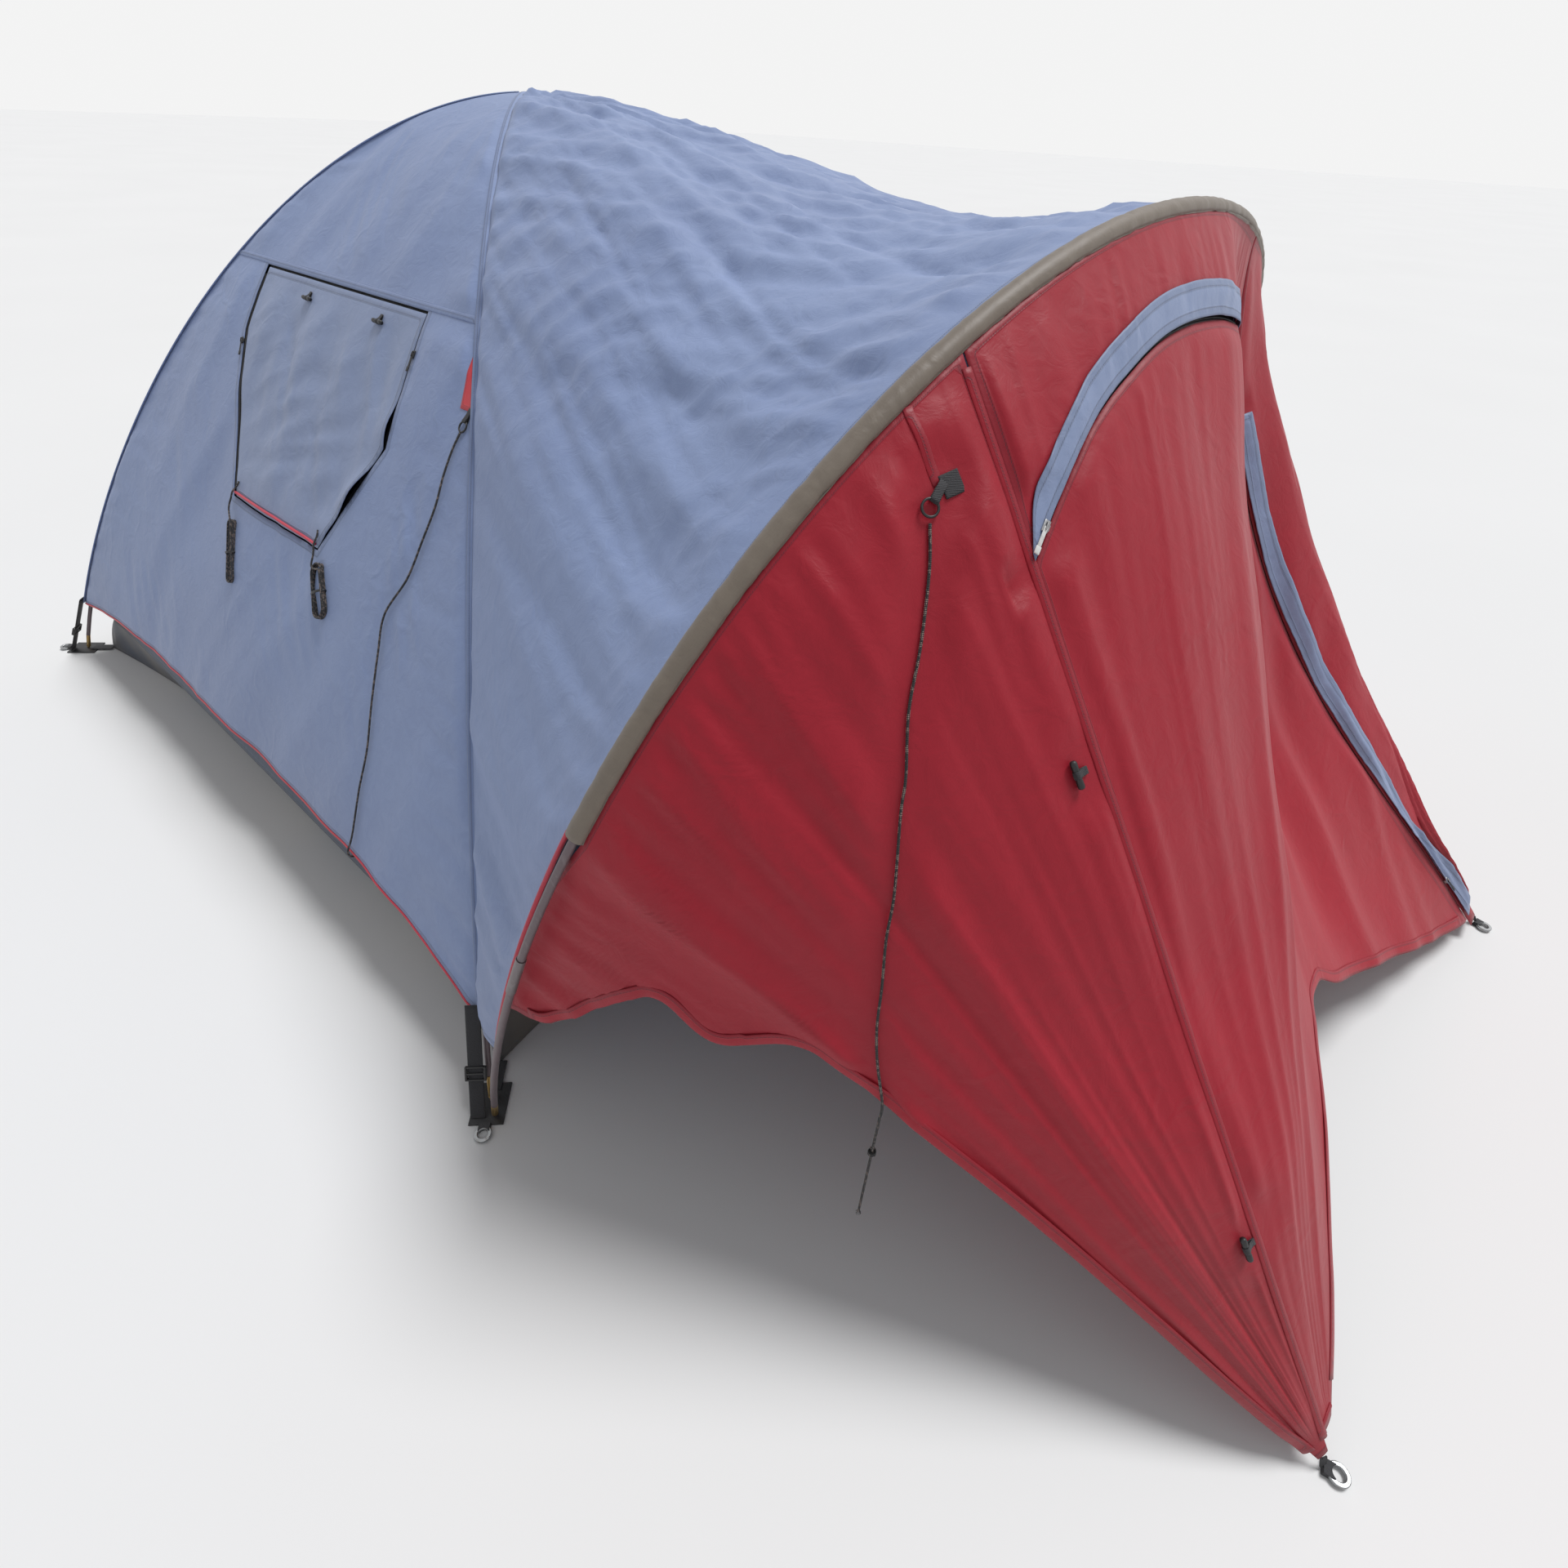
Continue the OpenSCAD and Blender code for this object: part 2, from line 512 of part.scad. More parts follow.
module door_slider_lower() color("lightgray")
    place(on_far(lower_u[0], -door_gap / 2), vest_n(front_t(zip_s(lower_u[0])), lower_u[0]),
        on_far(lower_u[0], 0) - on_far(lower_u[1], 0)) slider(1, flap_thick + 3 * fit + 1);

// a toggle: a barrel along Y, held at its middle by a tab whose sewn end is at the origin
tab_len = 16;
module toggle() {
    translate([tab_len, 0, toggle_d / 2 + 1.2]) rotate([90, 0, 0]) {
        cylinder(d = toggle_d, h = toggle_len - toggle_d, center = true, $fn = 24);
        for (end = [-1, 1]) translate([0, 0, end * (toggle_len - toggle_d) / 2])
            cylinder(d1 = toggle_d - (1 - end) * 1.2, d2 = toggle_d - (1 + end) * 1.2, h = 3,
                center = true, $fn = 24);
    }
    translate([0, -5, 0.6]) cube([tab_len, 10, 1.4]);
}
door_toggle_u = [0.31, 0.745];
door_toggle_t = hinge_t - 1.5;
function seam_dir(u) = vest(door_toggle_t, u + 0.01) - vest(door_toggle_t, u - 0.01);
module door_toggle(u) color("black")
    place(vest(door_toggle_t, u), vest_n(door_toggle_t, u), cross(vest_n(door_toggle_t, u), -seam_dir(u)))
        toggle();
module door_toggle_upper() door_toggle(door_toggle_u[0]);
module door_toggle_lower() door_toggle(door_toggle_u[1]);

// ---- window ---------------------------------------------------------------------------------

flap_gap = 3;                                // between the flap and its opening
module window_flap() color("lightsteelblue") intersection() {
    skin(fly_grid(0));
    window_prism(-flap_gap);
}
module window_zips() color("black") intersection() {
    skin(fly_grid(0), 1, -cloth - fit);
    difference() {
        window_prism(7);
        window_prism(-10);
        translate([0, 0, window_top]) cube([dome_len, 2 * dome_wid, 60], center = true);
        translate([0, 0, window_sill - 28]) cube([dome_len, 2 * dome_wid, 80], center = true);
    }
}
module window_mesh() color("dimgray") intersection() {
    skin(fly_grid(0), 1, -cloth - 1 - 2 * fit);
    window_prism(14);
}
function on_side(x, z, out) = near_face(x, z) + near_out(x, z) * out;
sill_z = window_sill + flap_gap + 5;
piping_x = [window_mid - window_sill_half + 8, window_mid + window_sill_half - 8];
module window_piping() color("crimson")
    rod(on_side(piping_x[0], sill_z, tape_r + fit), on_side(piping_x[1], sill_z, tape_r + fit), tape_r);

function left_edge(z) = lookup(z, [[window_sill, window_mid - window_sill_half],
    [window_top - 110, -window_half + 15], [window_top, -window_half]]);
function right_edge(z) = lookup(z, [[window_sill, window_mid + window_sill_half],
    [window_top - 190, window_half + 40], [window_top, window_half]]);
slider_z = [window_top - 128, window_top - 60];   // of the left and the right slider
function left_at(z) = near_face(left_edge(z) + flap_gap * 0.6, z);
function right_at(z) = near_face(right_edge(z) - flap_gap * 0.6, z);
module window_slider_left() color("black")
    place(left_at(slider_z[0]), near_out(0, slider_z[0]), left_at(slider_z[0]) - left_at(slider_z[0] - 4))
        slider(-1);
module window_slider_right() color("black")
    place(right_at(slider_z[1]), near_out(0, slider_z[1]), right_at(slider_z[1] - 4) - right_at(slider_z[1]))
        slider();

window_toggle_x = [-90, 190];
window_toggle_z = window_top - 22;
module window_toggle(x) color("black")
    place(near_face(x, window_toggle_z), near_out(x, window_toggle_z), -near_slope(x, window_toggle_z))
        toggle();
module window_toggle_left() window_toggle(window_toggle_x[0]);
module window_toggle_right() window_toggle(window_toggle_x[1]);

// guy cords of the flap, wound into hanks that hang below its sill: places across, heights and lifts
hank_thick = 13;
module hank(p, q, w) {
    out = near_out(0, (p[2] + q[2]) / 2);
    place((p + q) / 2, out, q - p) hull() for (end = [-1, 1])
        translate([end * (norm(q - p) - w) / 2, 0, 0]) cylinder(d = w, h = hank_thick, $fn = 24);
}
module window_cord(points, p, q, w) color("black") {
    tube([for (a = points) on_side(a[0], a[1], a[2])], [cord_d / 2, cord_d / 2], 8, [0, 1, 0]);
    hank(on_side(p[0], p[1], 3), on_side(q[0], q[1], 3), w);
}
module window_cord_left() window_cord([[-133, 650, 2.4], [-134, 640, 4], [-135, 630, 9], [-135, 618, 9],
    [-131, 600, 9], [-122, 583, 9], [-110, 565, 9]], [-115, 585], [-62, 478], 22);
module window_cord_right() window_cord([[223, 652, 2.4], [228, 642, 4], [234, 630, 9], [244, 618, 9],
    [256, 606, 9], [266, 596, 9]], [258, 608], [319, 528], 38);

// ---- guy points -------------------------------------------------------------------------------

// a ring of radius 9 whose wire passes through a short tab. The tab ends at the origin, on the
// cloth, and runs along X, with Z out of the cloth.
guy_ring = [9, 1.5];
guy_z = guy_ring[1] + 1.8;
module guy_ring_at(r = guy_ring[1]) translate([12 + guy_ring[0], 0, guy_z])
    rotate_extrude($fn = 48) translate([guy_ring[0], 0]) circle(r = r, $fn = 16);
module guy_tab() difference() {
    translate([0, -5, fit]) cube([16, 10, 2 * guy_z - 2 * fit]);
    guy_ring_at(guy_ring[1] + fit);
}
guy_len = 12 + 2 * guy_ring[0] + guy_ring[1];    // from a tab's end to the far side of its ring

side_guy = [551, 894];                       // place across and height of the tab on the fly's side
module at_side_guy() for (m = [0, 1]) mirror([0, m, 0])
    place(near_face(side_guy[0], side_guy[1]), near_out(side_guy[0], side_guy[1]),
        -near_slope(side_guy[0], side_guy[1])) children();
module side_guy_patches() color("crimson") for (m = [0, 1]) mirror([0, m, 0])
    skin([for (z = [898, 934, 969]) let (e = keep(z, dome_h) * half_l - 4, w = (974 - z) * 0.5)
        [for (j = [0:2]) near_face(e - w * (1 - j / 2), z)]], 1.2, 1.2 + fit);
module side_guy_tabs() color("black") at_side_guy() guy_tab();
module side_guy_rings() color("black") at_side_guy() guy_ring_at();
side_path = [[550, -610, 847], [553, -637, 811], [560, -664, 773], [556, -698, 723], [546, -735, 665],
    [512, -775, 601], [523, -810, 542], [538, -852, 465], [553, -889, 394], [553, -925, 323], [554, -964, 239],
    [554, -980, 212], [554, -982, 200], [554, -976, 192.5], [554, -966, 191], [554, -956, 196],
    [554, -951, 210], [554, -948, 232]];
module side_guy_cord() color("black") {
    n = near_out(side_guy[0], side_guy[1]);
    p = near_face(side_guy[0], side_guy[1]) + n * guy_z
        - near_slope(side_guy[0], side_guy[1]) * (guy_len + fit);
    tube(concat([p], side_path), [cord_d / 2, cord_d / 2], 8, [1, 0, 0]);
}

vest_guy = [60.4, 0.063];                    // hoop angle and u of the vestibule's tab
vest_path = [[1429, -580, 978], [1448, -599, 939], [1472, -634, 878], [1489, -666, 823], [1513, -692, 765],
    [1524, -709, 730], [1550, -740, 653], [1561, -760, 606], [1576, -778, 553], [1587, -793, 507],
    [1601, -803, 462], [1623, -813, 409], [1625, -816, 380], [1625, -816, 340], [1625, -816, 260],
    [1625, -816, 140]];
vest_knot = [1625, -816, 300];
module at_vest_guy(turn = 35) for (far = [0, 1]) {
    t = far ? 180 - vest_guy[0] : vest_guy[0];
    first = vest(t, 0);
    run = vest(t, u_end / cols) - first;     // along the first column of the wall's facets
    across = vest(t + 2, 0) - vest(t - 2, 0);
    n = unit(cross(run, across));
    place(first + run * vest_guy[1] * cols / u_end, n, cross(n, run) * (far ? 1 : -1))
        rotate([0, 0, far ? -turn : turn]) children();
}
module vestibule_guy_patches() color("black") at_vest_guy(0)
    translate([-25, -12, fit + 0.2]) cube([22.6, 24, 1.2]);
module vestibule_guy_tabs() color("black") at_vest_guy() translate([1.5, 0, 0]) guy_tab();
module vestibule_guy_rings() color("black") at_vest_guy() translate([1.5, 0, 0]) guy_ring_at();
module vestibule_guy_cord() color("black") {
    tube(vest_path, [cord_d / 2, cord_d / 2], 8, [1, 0, 0]);
    translate(vest_knot) cylinder(d = 9, h = 9, center = true, $fn = 24);
}

// ---- inner tent -------------------------------------------------------------------------------

floor_l = inner_l - 15;
floor_w = inner_w - 15;
side_steps = 12;
// outline of the tub, counted from the rear near corner: p along X and q along Y, bowed in by b
function outline(p, q, b, z) = [for (side = [0:3]) for (j = [0:side_steps - 1])
    let (s = 2 * j / side_steps - 1, k = b * (1 - s * s),
         a = side == 0 ? [s * p, -(q - k)] : side == 1 ? [p - k, s * q]
            : side == 2 ? [-s * p, q - k] : [k - p, -s * q])
    [a[0], a[1], z]];
module groundsheet() color("midnightblue") {
    k = keep(tub_h, inner_h);
    m = 4 * side_steps;
    loops = [outline(floor_l, floor_w, floor_bow, 0), outline(inner_l * k, inner_w * k, 0, tub_h),
        outline(inner_l * k - cloth, inner_w * k - cloth, 0, tub_h),
        outline(floor_l - cloth, floor_w - cloth, floor_bow, cloth)];
    polyhedron([for (l = loops) each l, [0, 0, 0], [0, 0, cloth]], concat(
        [for (j = [0:m - 1]) [4 * m, j, (j + 1) % m]],
        // the inner wall's facets are divided as the outer wall's are, so that the two never meet
        [for (r = [0:2]) for (j = [0:m - 1]) let (a = r * m + j, b = r * m + (j + 1) % m)
            each r < 2 ? [[a, a + m, b], [b, a + m, b + m]] : [[a, a + m, b + m], [a, b + m, b]]],
        [for (j = [0:m - 1]) [4 * m + 1, 3 * m + (j + 1) % m, 3 * m + j]]));
}
module inner_wall_near() color("steelblue") skin(inner_grid(0));
module inner_wall_far() color("steelblue") skin(inner_grid(2));
module between_inner_sides() difference() {
    children();
    for (side = [0, 2]) skin(inner_grid(side, 1.03), cloth + 3 + 3 * fit, 3 + 1.5 * fit);
}
module inner_wall_rear() color("steelblue") between_inner_sides() skin(inner_grid(3));

inner_sill = 175;
inner_bend = 520;                            // height at which the door's sides turn into its arch
module inner_door_prism(grow = 0) rotate([90, 0, 90]) linear_extrude(half_l) polygon(concat(
    [[-inner_door_half - grow, inner_sill - grow], [inner_door_half + grow, inner_sill - grow]],
    [for (a = [0:15:180]) [(inner_door_half + grow) * cos(a),
        inner_bend + (inner_door_top - inner_bend + grow) * sin(a)]]));
module inner_wall_front() color("steelblue") difference() {
    between_inner_sides() skin(inner_grid(1));
    inner_door_prism();
}
module inner_door() color("steelblue") intersection() {
    skin(inner_grid(1));
    inner_door_prism(-flap_gap);
}
inner_rows = [for (i = [0:rows]) edge_z(mix(edge_t(tub_h + 3 * fit, inner_h), 89, i / rows), inner_h)];
function inner_face(y, z) = [lookup(z, [for (h = inner_rows) [h, inner_l * keep(h, inner_h)]]), y, z];
function inner_zip_at(z) = inner_face(-inner_door_half + flap_gap / 2, z);
inner_slider_z = 330;
module inner_door_slider() color("silver") {
    up = inner_zip_at(inner_slider_z + 3) - inner_zip_at(inner_slider_z - 3);
    place(inner_zip_at(inner_slider_z), cross([0, 1, 0], up), -up) slider();
}

// clips that hang the inner tent from the middles of some sections of the dome poles
clip_at = [1, 2, 3];
clip_wall = 1.4;
module pole_clip(curve, q, i, dir) {
    table = arc_table(curve);
    t = arc_t(table, pole_end + (i + 0.5) * pole_step(table));
    k = lookup(edge_z(t, inner_h), [for (h = inner_rows) [h, keep(h, inner_h)]]) * sign(cos(t));
    e = [dir * inner_l * k, -inner_w * k, edge_z(t, inner_h)];
    c = q[i][1];
    along = unit(q[i][2] - q[i][0]);
    bore = dome_pole_d / 2 + 0.5;
    reach = norm((e - c) - along * ((e - c) * along)) - 0.5;
    place(c, along, e - c) difference() {
        union() {
            cylinder(r = bore + clip_wall, h = 12, center = true, $fn = 24);
            translate([bore, -0.8, -6]) cube([reach - bore, 1.6, 12]);
        }
        cylinder(r = bore, h = 14, center = true, $fn = 24);
    }
}
module pole_clips() color("black") for (i = clip_at) for (k = [i, pole_sections - 1 - i]) {
    pole_clip(curve_1, sections(curve_1), k, 1);
    pole_clip(curve_2, sections(curve_2), k, -1);
}

// ---- corners ----------------------------------------------------------------------------------

pin_at = half_l - pole_in / 2;               // the dome poles' pins, along X
pin_side = half_w - pole_in / 2;             // and along Y
// children are placed at each corner's pin, X outward and Y turned away from the hoop's pin
module corner(front, far) multmatrix([
    [(front ? 1 : -1) * sqrt(0.5), (front ? -1 : 1) * sqrt(0.5), 0, (front ? 1 : -1) * pin_at],
    [(far ? 1 : -1) * sqrt(0.5), (far ? 1 : -1) * sqrt(0.5), 0, (far ? 1 : -1) * pin_side],
    [0, 0, 1, 0], [0, 0, 0, 1]]) children();
module corners() for (front = [false, true]) for (far = [false, true]) corner(front, far) children();

plate_x = [-30, 44];
plate_half = 28;
ring_x = 61;                                 // a peg ring's centre
ring_mid = ring_bore_r + ring_wall;
ring_z = ring_wall + 1.6;
module peg_ring(grow = 0) translate([0, 0, ring_z]) rotate_extrude($fn = 48)
    translate([ring_bore_r - grow, -ring_wall - grow]) square(2 * (ring_wall + grow));
// the loop of stock around the near side of a ring that is centred at the origin
module ring_loop() difference() {
    translate([-ring_mid - 7, -9, 0]) cube([14, 18, 2 * ring_z]);
    peg_ring(fit);
    cylinder(r = ring_bore_r + fit, h = 50, center = true, $fn = 48);
}
hoop_pin = [(hoop_x - pin_at + half_w - pin_side) * sqrt(0.5),
    -(hoop_x - pin_at - half_w + pin_side) * sqrt(0.5)];
module corner_plates() color("dimgray") for (front = [false, true]) for (far = [false, true])
    corner(front, far) {
        difference() {
            translate([plate_x[0], -plate_half, 0]) cube([plate_x[1] - plate_x[0], 2 * plate_half, 3]);
            cylinder(d = pin_d + 2 * fit, h = 20, center = true, $fn = 24);
            if (front) translate(hoop_pin) cylinder(d = pin_d + 2 * fit, h = 20, center = true, $fn = 24);
        }
        translate([ring_x, 0, 0]) ring_loop();
    }
module corner_straps() color("black") corners() {
    lean = (floor_l - inner_l * keep(tub_h, inner_h)) / tub_h;
    x0 = (floor_l - pin_at - (3 + fit) * lean) * sqrt(2) + fit;
    translate([x0, -web_w / 2, 3 + fit]) cube([plate_x[0] + 14 - x0, web_w, 1.6]);
}

strap_y = 14;                                // the fly strap's place beside the pin
strap_x = [(keep(168, dome_h) - 1) * half_l * sqrt(2) + pole_in / 2 * sqrt(2) + 2, 33];
strap_z = [168, 3 + fit + 0.8];
module fly_corner_straps() color("black") corners()
    strap([strap_x[0], strap_y, strap_z[0]], [strap_x[1], strap_y, strap_z[1]], web_w, 1.6, [0, 1, 0]);
buckle_at = 0.6;                             // share of the strap at which a buckle rests
module buckle(front, far) color("black") corner(front, far)
    place([mix(strap_x[0], strap_x[1], buckle_at), strap_y, mix(strap_z[0], strap_z[1], buckle_at)],
        [strap_x[1] - strap_x[0], 0, strap_z[1] - strap_z[0]], [0, 1, 0]) difference() {
        translate([-web_w / 2 - 4.5, -3.5, -12]) cube([web_w + 9, 7, 24]);
        translate([-web_w / 2 - 0.5, -1.3, -13]) cube([web_w + 1, 2.6, 26]);
    }
module buckle_front_near() buckle(true, false);
module buckle_front_far() buckle(true, true);
module buckle_rear_near() buckle(false, false);
module buckle_rear_far() buckle(false, true);

// the vestibule's peg points: a strap from the cloth down to the loop around the ring
module at_peg(far) place([tip_x, far ? tip_y : -tip_y, 0], [0, 0, 1], [1, far ? -0.22 : 0.22, 0]) children();
module vestibule_tabs() color("black") for (far = [false, true]) {
    t = far ? 180 - 48 : 48;
    p = vest(t, u_end);
    q = [tip_x, far ? tip_y : -tip_y, ring_z + 1]
        - unit([1, far ? -0.22 : 0.22, 0]) * (ring_mid + 6.5);
    at_peg(far) ring_loop();
    difference() {
        strap(p + unit(q - p) * 4, q, 10, 2, vest(t + 12, u_end) - vest(t - 12, u_end));
        at_peg(far) peg_ring(fit);
    }
}
module peg_rings() color("silver") {
    corners() translate([ring_x, 0, 0]) peg_ring();
    at_peg(false) peg_ring();
    at_peg(true) peg_ring();
}

dome_pole_1();
dome_pole_1_ferrules();
dome_pole_2();
dome_pole_2_ferrules();
hoop_pole();
hoop_pole_ferrules();
shock_cords();
pole_tips();
fly_side_panel_near();
fly_side_panel_far();
fly_rear_panel();
fly_roof_panel();
fly_hem_piping();
hoop_sleeve();
vestibule_wall_near();
vestibule_wall_far();
vestibule_brow();
storm_flap_arch();
storm_flap_side();
door_zip();
vestibule_door();
door_slider_upper();
door_slider_lower();
door_toggle_upper();
door_toggle_lower();
window_flap();
window_piping();
window_mesh();
window_zips();
window_slider_left();
window_slider_right();
window_toggle_left();
window_toggle_right();
window_cord_left();
window_cord_right();
side_guy_patches();
side_guy_tabs();
side_guy_rings();
side_guy_cord();
vestibule_guy_patches();
vestibule_guy_tabs();
vestibule_guy_rings();
vestibule_guy_cord();
groundsheet();
inner_wall_near();
inner_wall_far();
inner_wall_rear();
inner_wall_front();
inner_door();
inner_door_slider();
pole_clips();
corner_straps();
corner_plates();
fly_corner_straps();
peg_rings();
vestibule_tabs();
buckle_front_near();
buckle_front_far();
buckle_rear_near();
buckle_rear_far();
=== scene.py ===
# %% [markdown]
# # A three-pole tent with a vestibule
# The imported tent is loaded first. It says where every pole, panel and fitting is, in metres, with the origin on the
# ground under the crossing of the two dome poles. The cloth gets its folds, seams and finish here.

# %% Load the frame
import json
import math
import bpy
import bmesh
from mathutils import Matrix, Vector, noise
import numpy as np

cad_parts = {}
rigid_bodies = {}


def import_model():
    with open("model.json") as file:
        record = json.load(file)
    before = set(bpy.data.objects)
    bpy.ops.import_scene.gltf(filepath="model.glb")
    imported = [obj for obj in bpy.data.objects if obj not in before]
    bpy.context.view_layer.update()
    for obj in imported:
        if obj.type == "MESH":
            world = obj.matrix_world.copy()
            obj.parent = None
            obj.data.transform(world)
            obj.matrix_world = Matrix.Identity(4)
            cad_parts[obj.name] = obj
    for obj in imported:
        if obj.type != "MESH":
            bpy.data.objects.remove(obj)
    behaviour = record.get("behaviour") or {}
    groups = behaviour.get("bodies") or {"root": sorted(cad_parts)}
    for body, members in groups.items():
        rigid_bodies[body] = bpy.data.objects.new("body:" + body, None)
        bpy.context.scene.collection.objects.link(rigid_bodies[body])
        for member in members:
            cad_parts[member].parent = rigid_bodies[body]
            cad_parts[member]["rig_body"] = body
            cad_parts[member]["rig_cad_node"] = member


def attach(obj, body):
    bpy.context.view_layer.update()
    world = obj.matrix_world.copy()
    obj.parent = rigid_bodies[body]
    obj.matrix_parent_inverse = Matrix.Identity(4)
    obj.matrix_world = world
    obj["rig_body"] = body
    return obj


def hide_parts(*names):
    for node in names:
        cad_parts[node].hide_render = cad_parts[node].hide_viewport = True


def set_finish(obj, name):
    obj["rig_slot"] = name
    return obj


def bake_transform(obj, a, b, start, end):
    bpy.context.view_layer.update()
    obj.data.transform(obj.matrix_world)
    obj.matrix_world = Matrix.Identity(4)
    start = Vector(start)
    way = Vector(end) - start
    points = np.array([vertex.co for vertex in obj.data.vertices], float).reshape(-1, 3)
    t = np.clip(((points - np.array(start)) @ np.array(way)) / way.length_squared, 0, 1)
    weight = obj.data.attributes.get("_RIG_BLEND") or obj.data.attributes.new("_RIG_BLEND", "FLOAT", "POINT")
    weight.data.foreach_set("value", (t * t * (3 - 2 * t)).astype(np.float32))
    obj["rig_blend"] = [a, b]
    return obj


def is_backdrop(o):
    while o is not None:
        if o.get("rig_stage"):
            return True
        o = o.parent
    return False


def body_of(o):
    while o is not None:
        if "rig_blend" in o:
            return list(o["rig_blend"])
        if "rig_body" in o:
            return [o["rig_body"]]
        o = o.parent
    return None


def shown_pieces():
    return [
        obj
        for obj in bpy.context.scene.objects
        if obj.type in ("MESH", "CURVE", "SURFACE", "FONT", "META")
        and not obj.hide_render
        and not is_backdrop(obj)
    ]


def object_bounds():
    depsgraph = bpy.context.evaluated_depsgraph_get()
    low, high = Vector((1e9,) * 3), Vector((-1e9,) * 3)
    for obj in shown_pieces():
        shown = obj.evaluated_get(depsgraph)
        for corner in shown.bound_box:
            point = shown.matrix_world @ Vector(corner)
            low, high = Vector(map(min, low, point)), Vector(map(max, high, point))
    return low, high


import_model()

cad_low, cad_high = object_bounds()
print("CAD box", [round(x, 3) for x in cad_high - cad_low])

# %% [markdown]
# ## Camera
# The tent is seen from close by with a wide lens, from the front corner on the window side and from above the
# hoop, so that the near peg ring lies close to the bottom of the picture. A small roll tips the view a little.

# %% Camera
YAW, PITCH, ROLL = 0.6928, 0.6924, 0.0511      # radians
CAMERA_AT = (1.8313, -1.2716, 1.286)
SENSOR = 36                                    # mm
LENS_SHARE = 987.02 / 1920                     # the lens's length as a share of the sensor's width
back = Vector((math.sin(YAW) * math.cos(PITCH), -math.cos(YAW) * math.cos(PITCH), math.sin(PITCH)))
level = Vector((math.cos(YAW), math.sin(YAW), 0))
above = back.cross(level)
across = level * math.cos(ROLL) + above * math.sin(ROLL)
upward = above * math.cos(ROLL) - level * math.sin(ROLL)
camera = bpy.data.objects.new("camera", bpy.data.cameras.new("camera"))
bpy.context.scene.collection.objects.link(camera)
facing = Matrix((across, upward, back)).transposed().to_4x4()
camera.matrix_world = Matrix.Translation(CAMERA_AT) @ facing
camera.data.sensor_width = SENSOR
camera.data.lens = SENSOR * LENS_SHARE
camera.data.clip_start = 0.01
bpy.context.scene.camera = camera
print("camera", [round(x, 3) for x in camera.location])

# %% [markdown]
# ## Working with cloth
# Every panel is one continuous surface: a flat grid is laid over the panel's own shape, so that it keeps square
# threads, and a second sheet behind it gives it a thickness. A UV map in metres lets the weave follow the cloth, and
# a "rim" value on each point says how far the nearest edge is, which is where the hem and its stitches go.


# %% Small helpers
def mix(a, b, k):
    return a * (1 - k) + b * k


def clamp(x):
    return min(1.0, max(0.0, x))


def ease(x):
    x = clamp(x)
    return x * x * (3 - 2 * x)


def gap_to(p, line):
    """How far p is from a line of straight runs."""
    best = 9.0
    for a, b in zip(line, line[1:]):
        k = clamp((p - a).dot(b - a) / (b - a).length_squared)
        best = min(best, (p - a.lerp(b, k)).length)
    return best


def read_curve(x, table):
    """The value at x of a smooth curve through the table's points."""
    if x <= table[0][0]:
        return table[0][1]
    for i in range(len(table) - 1):
        (x0, y0), (x1, y1) = table[i], table[i + 1]
        if x <= x1:
            before = table[i - 1] if i else table[i]
            after = table[i + 2] if i + 2 < len(table) else table[i + 1]
            m0 = (y1 - before[1]) / (x1 - before[0]) * (x1 - x0)
            m1 = (after[1] - y0) / (after[0] - x0) * (x1 - x0)
            k = (x - x0) / (x1 - x0)
            return (y0 * (1 + 2 * k) * (1 - k) ** 2 + m0 * k * (1 - k) ** 2
                    + y1 * k * k * (3 - 2 * k) + m1 * k * k * (k - 1))
    return table[-1][1]


def merge(bm, gap=1e-5):
    bmesh.ops.remove_doubles(bm, verts=bm.verts, dist=gap)


def finished(name, bm, body, slot):
    """Makes the bmesh a piece that rides on a body. With no body it is left free."""
    for face in bm.faces:
        face.smooth = True
    mesh = bpy.data.meshes.new(name)
    bm.to_mesh(mesh)
    bm.free()
    piece = bpy.data.objects.new(name, mesh)
    bpy.context.scene.collection.objects.link(piece)
    if body:
        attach(piece, body)
    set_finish(piece, slot)
    return piece


def surface(cols, rows, place, size=(1.0, 1.0), ripple=None, closed=False):
    """A grid of cols by rows over place(u, v), with u to the right and v up as seen from outside. ripple(u, v)
    moves a point along the normal. size is the panel's width and length in metres, for the UV map."""
    bm = bmesh.new()
    bmesh.ops.create_grid(bm, x_segments=cols, y_segments=rows, size=0.5)
    threads = bm.loops.layers.uv.new("cloth")
    rim = bm.verts.layers.float.new("rim")
    flat = {vert: (vert.co.x + 0.5, vert.co.y + 0.5) for vert in bm.verts}
    for face in bm.faces:
        for loop in face.loops:
            u, v = flat[loop.vert]
            loop[threads].uv = (u * size[0], v * size[1])
    for vert, (u, v) in flat.items():
        vert.co = place(u, v)
        vert[rim] = min(min(u, 1 - u) * size[0], min(v, 1 - v) * size[1])
    if ripple:
        bm.normal_update()
        moved = [(vert, vert.normal.copy(), ripple(u, v)) for vert, (u, v) in flat.items()]
        for vert, out, high in moved:
            vert.co += out * high
    if closed:
        merge(bm)
    return bm


TAPERED = 0.36       # a cut that fills less of its width by length is a taper, worked out as a triangle that is as large


def thicken(piece, thickness):
    solid = piece.modifiers.new("cloth thickness", "SOLIDIFY")
    solid.thickness = thickness
    solid.offset = -1
    solid.use_even_offset = False


def panel(name, bm, body, slot, flat, replaces, thickness=0.001):
    """A cloth panel: the bmesh gets its thickness, and the CAD parts that it replaces are hidden."""
    area = sum(face.calc_area() for face in bm.faces)
    piece = finished(name, bm, body, slot)
    thicken(piece, thickness)
    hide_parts(*replaces)
    if area < TAPERED * flat[0] * flat[1]:
        flat = (flat[0], round(2 * area / flat[0], 3))


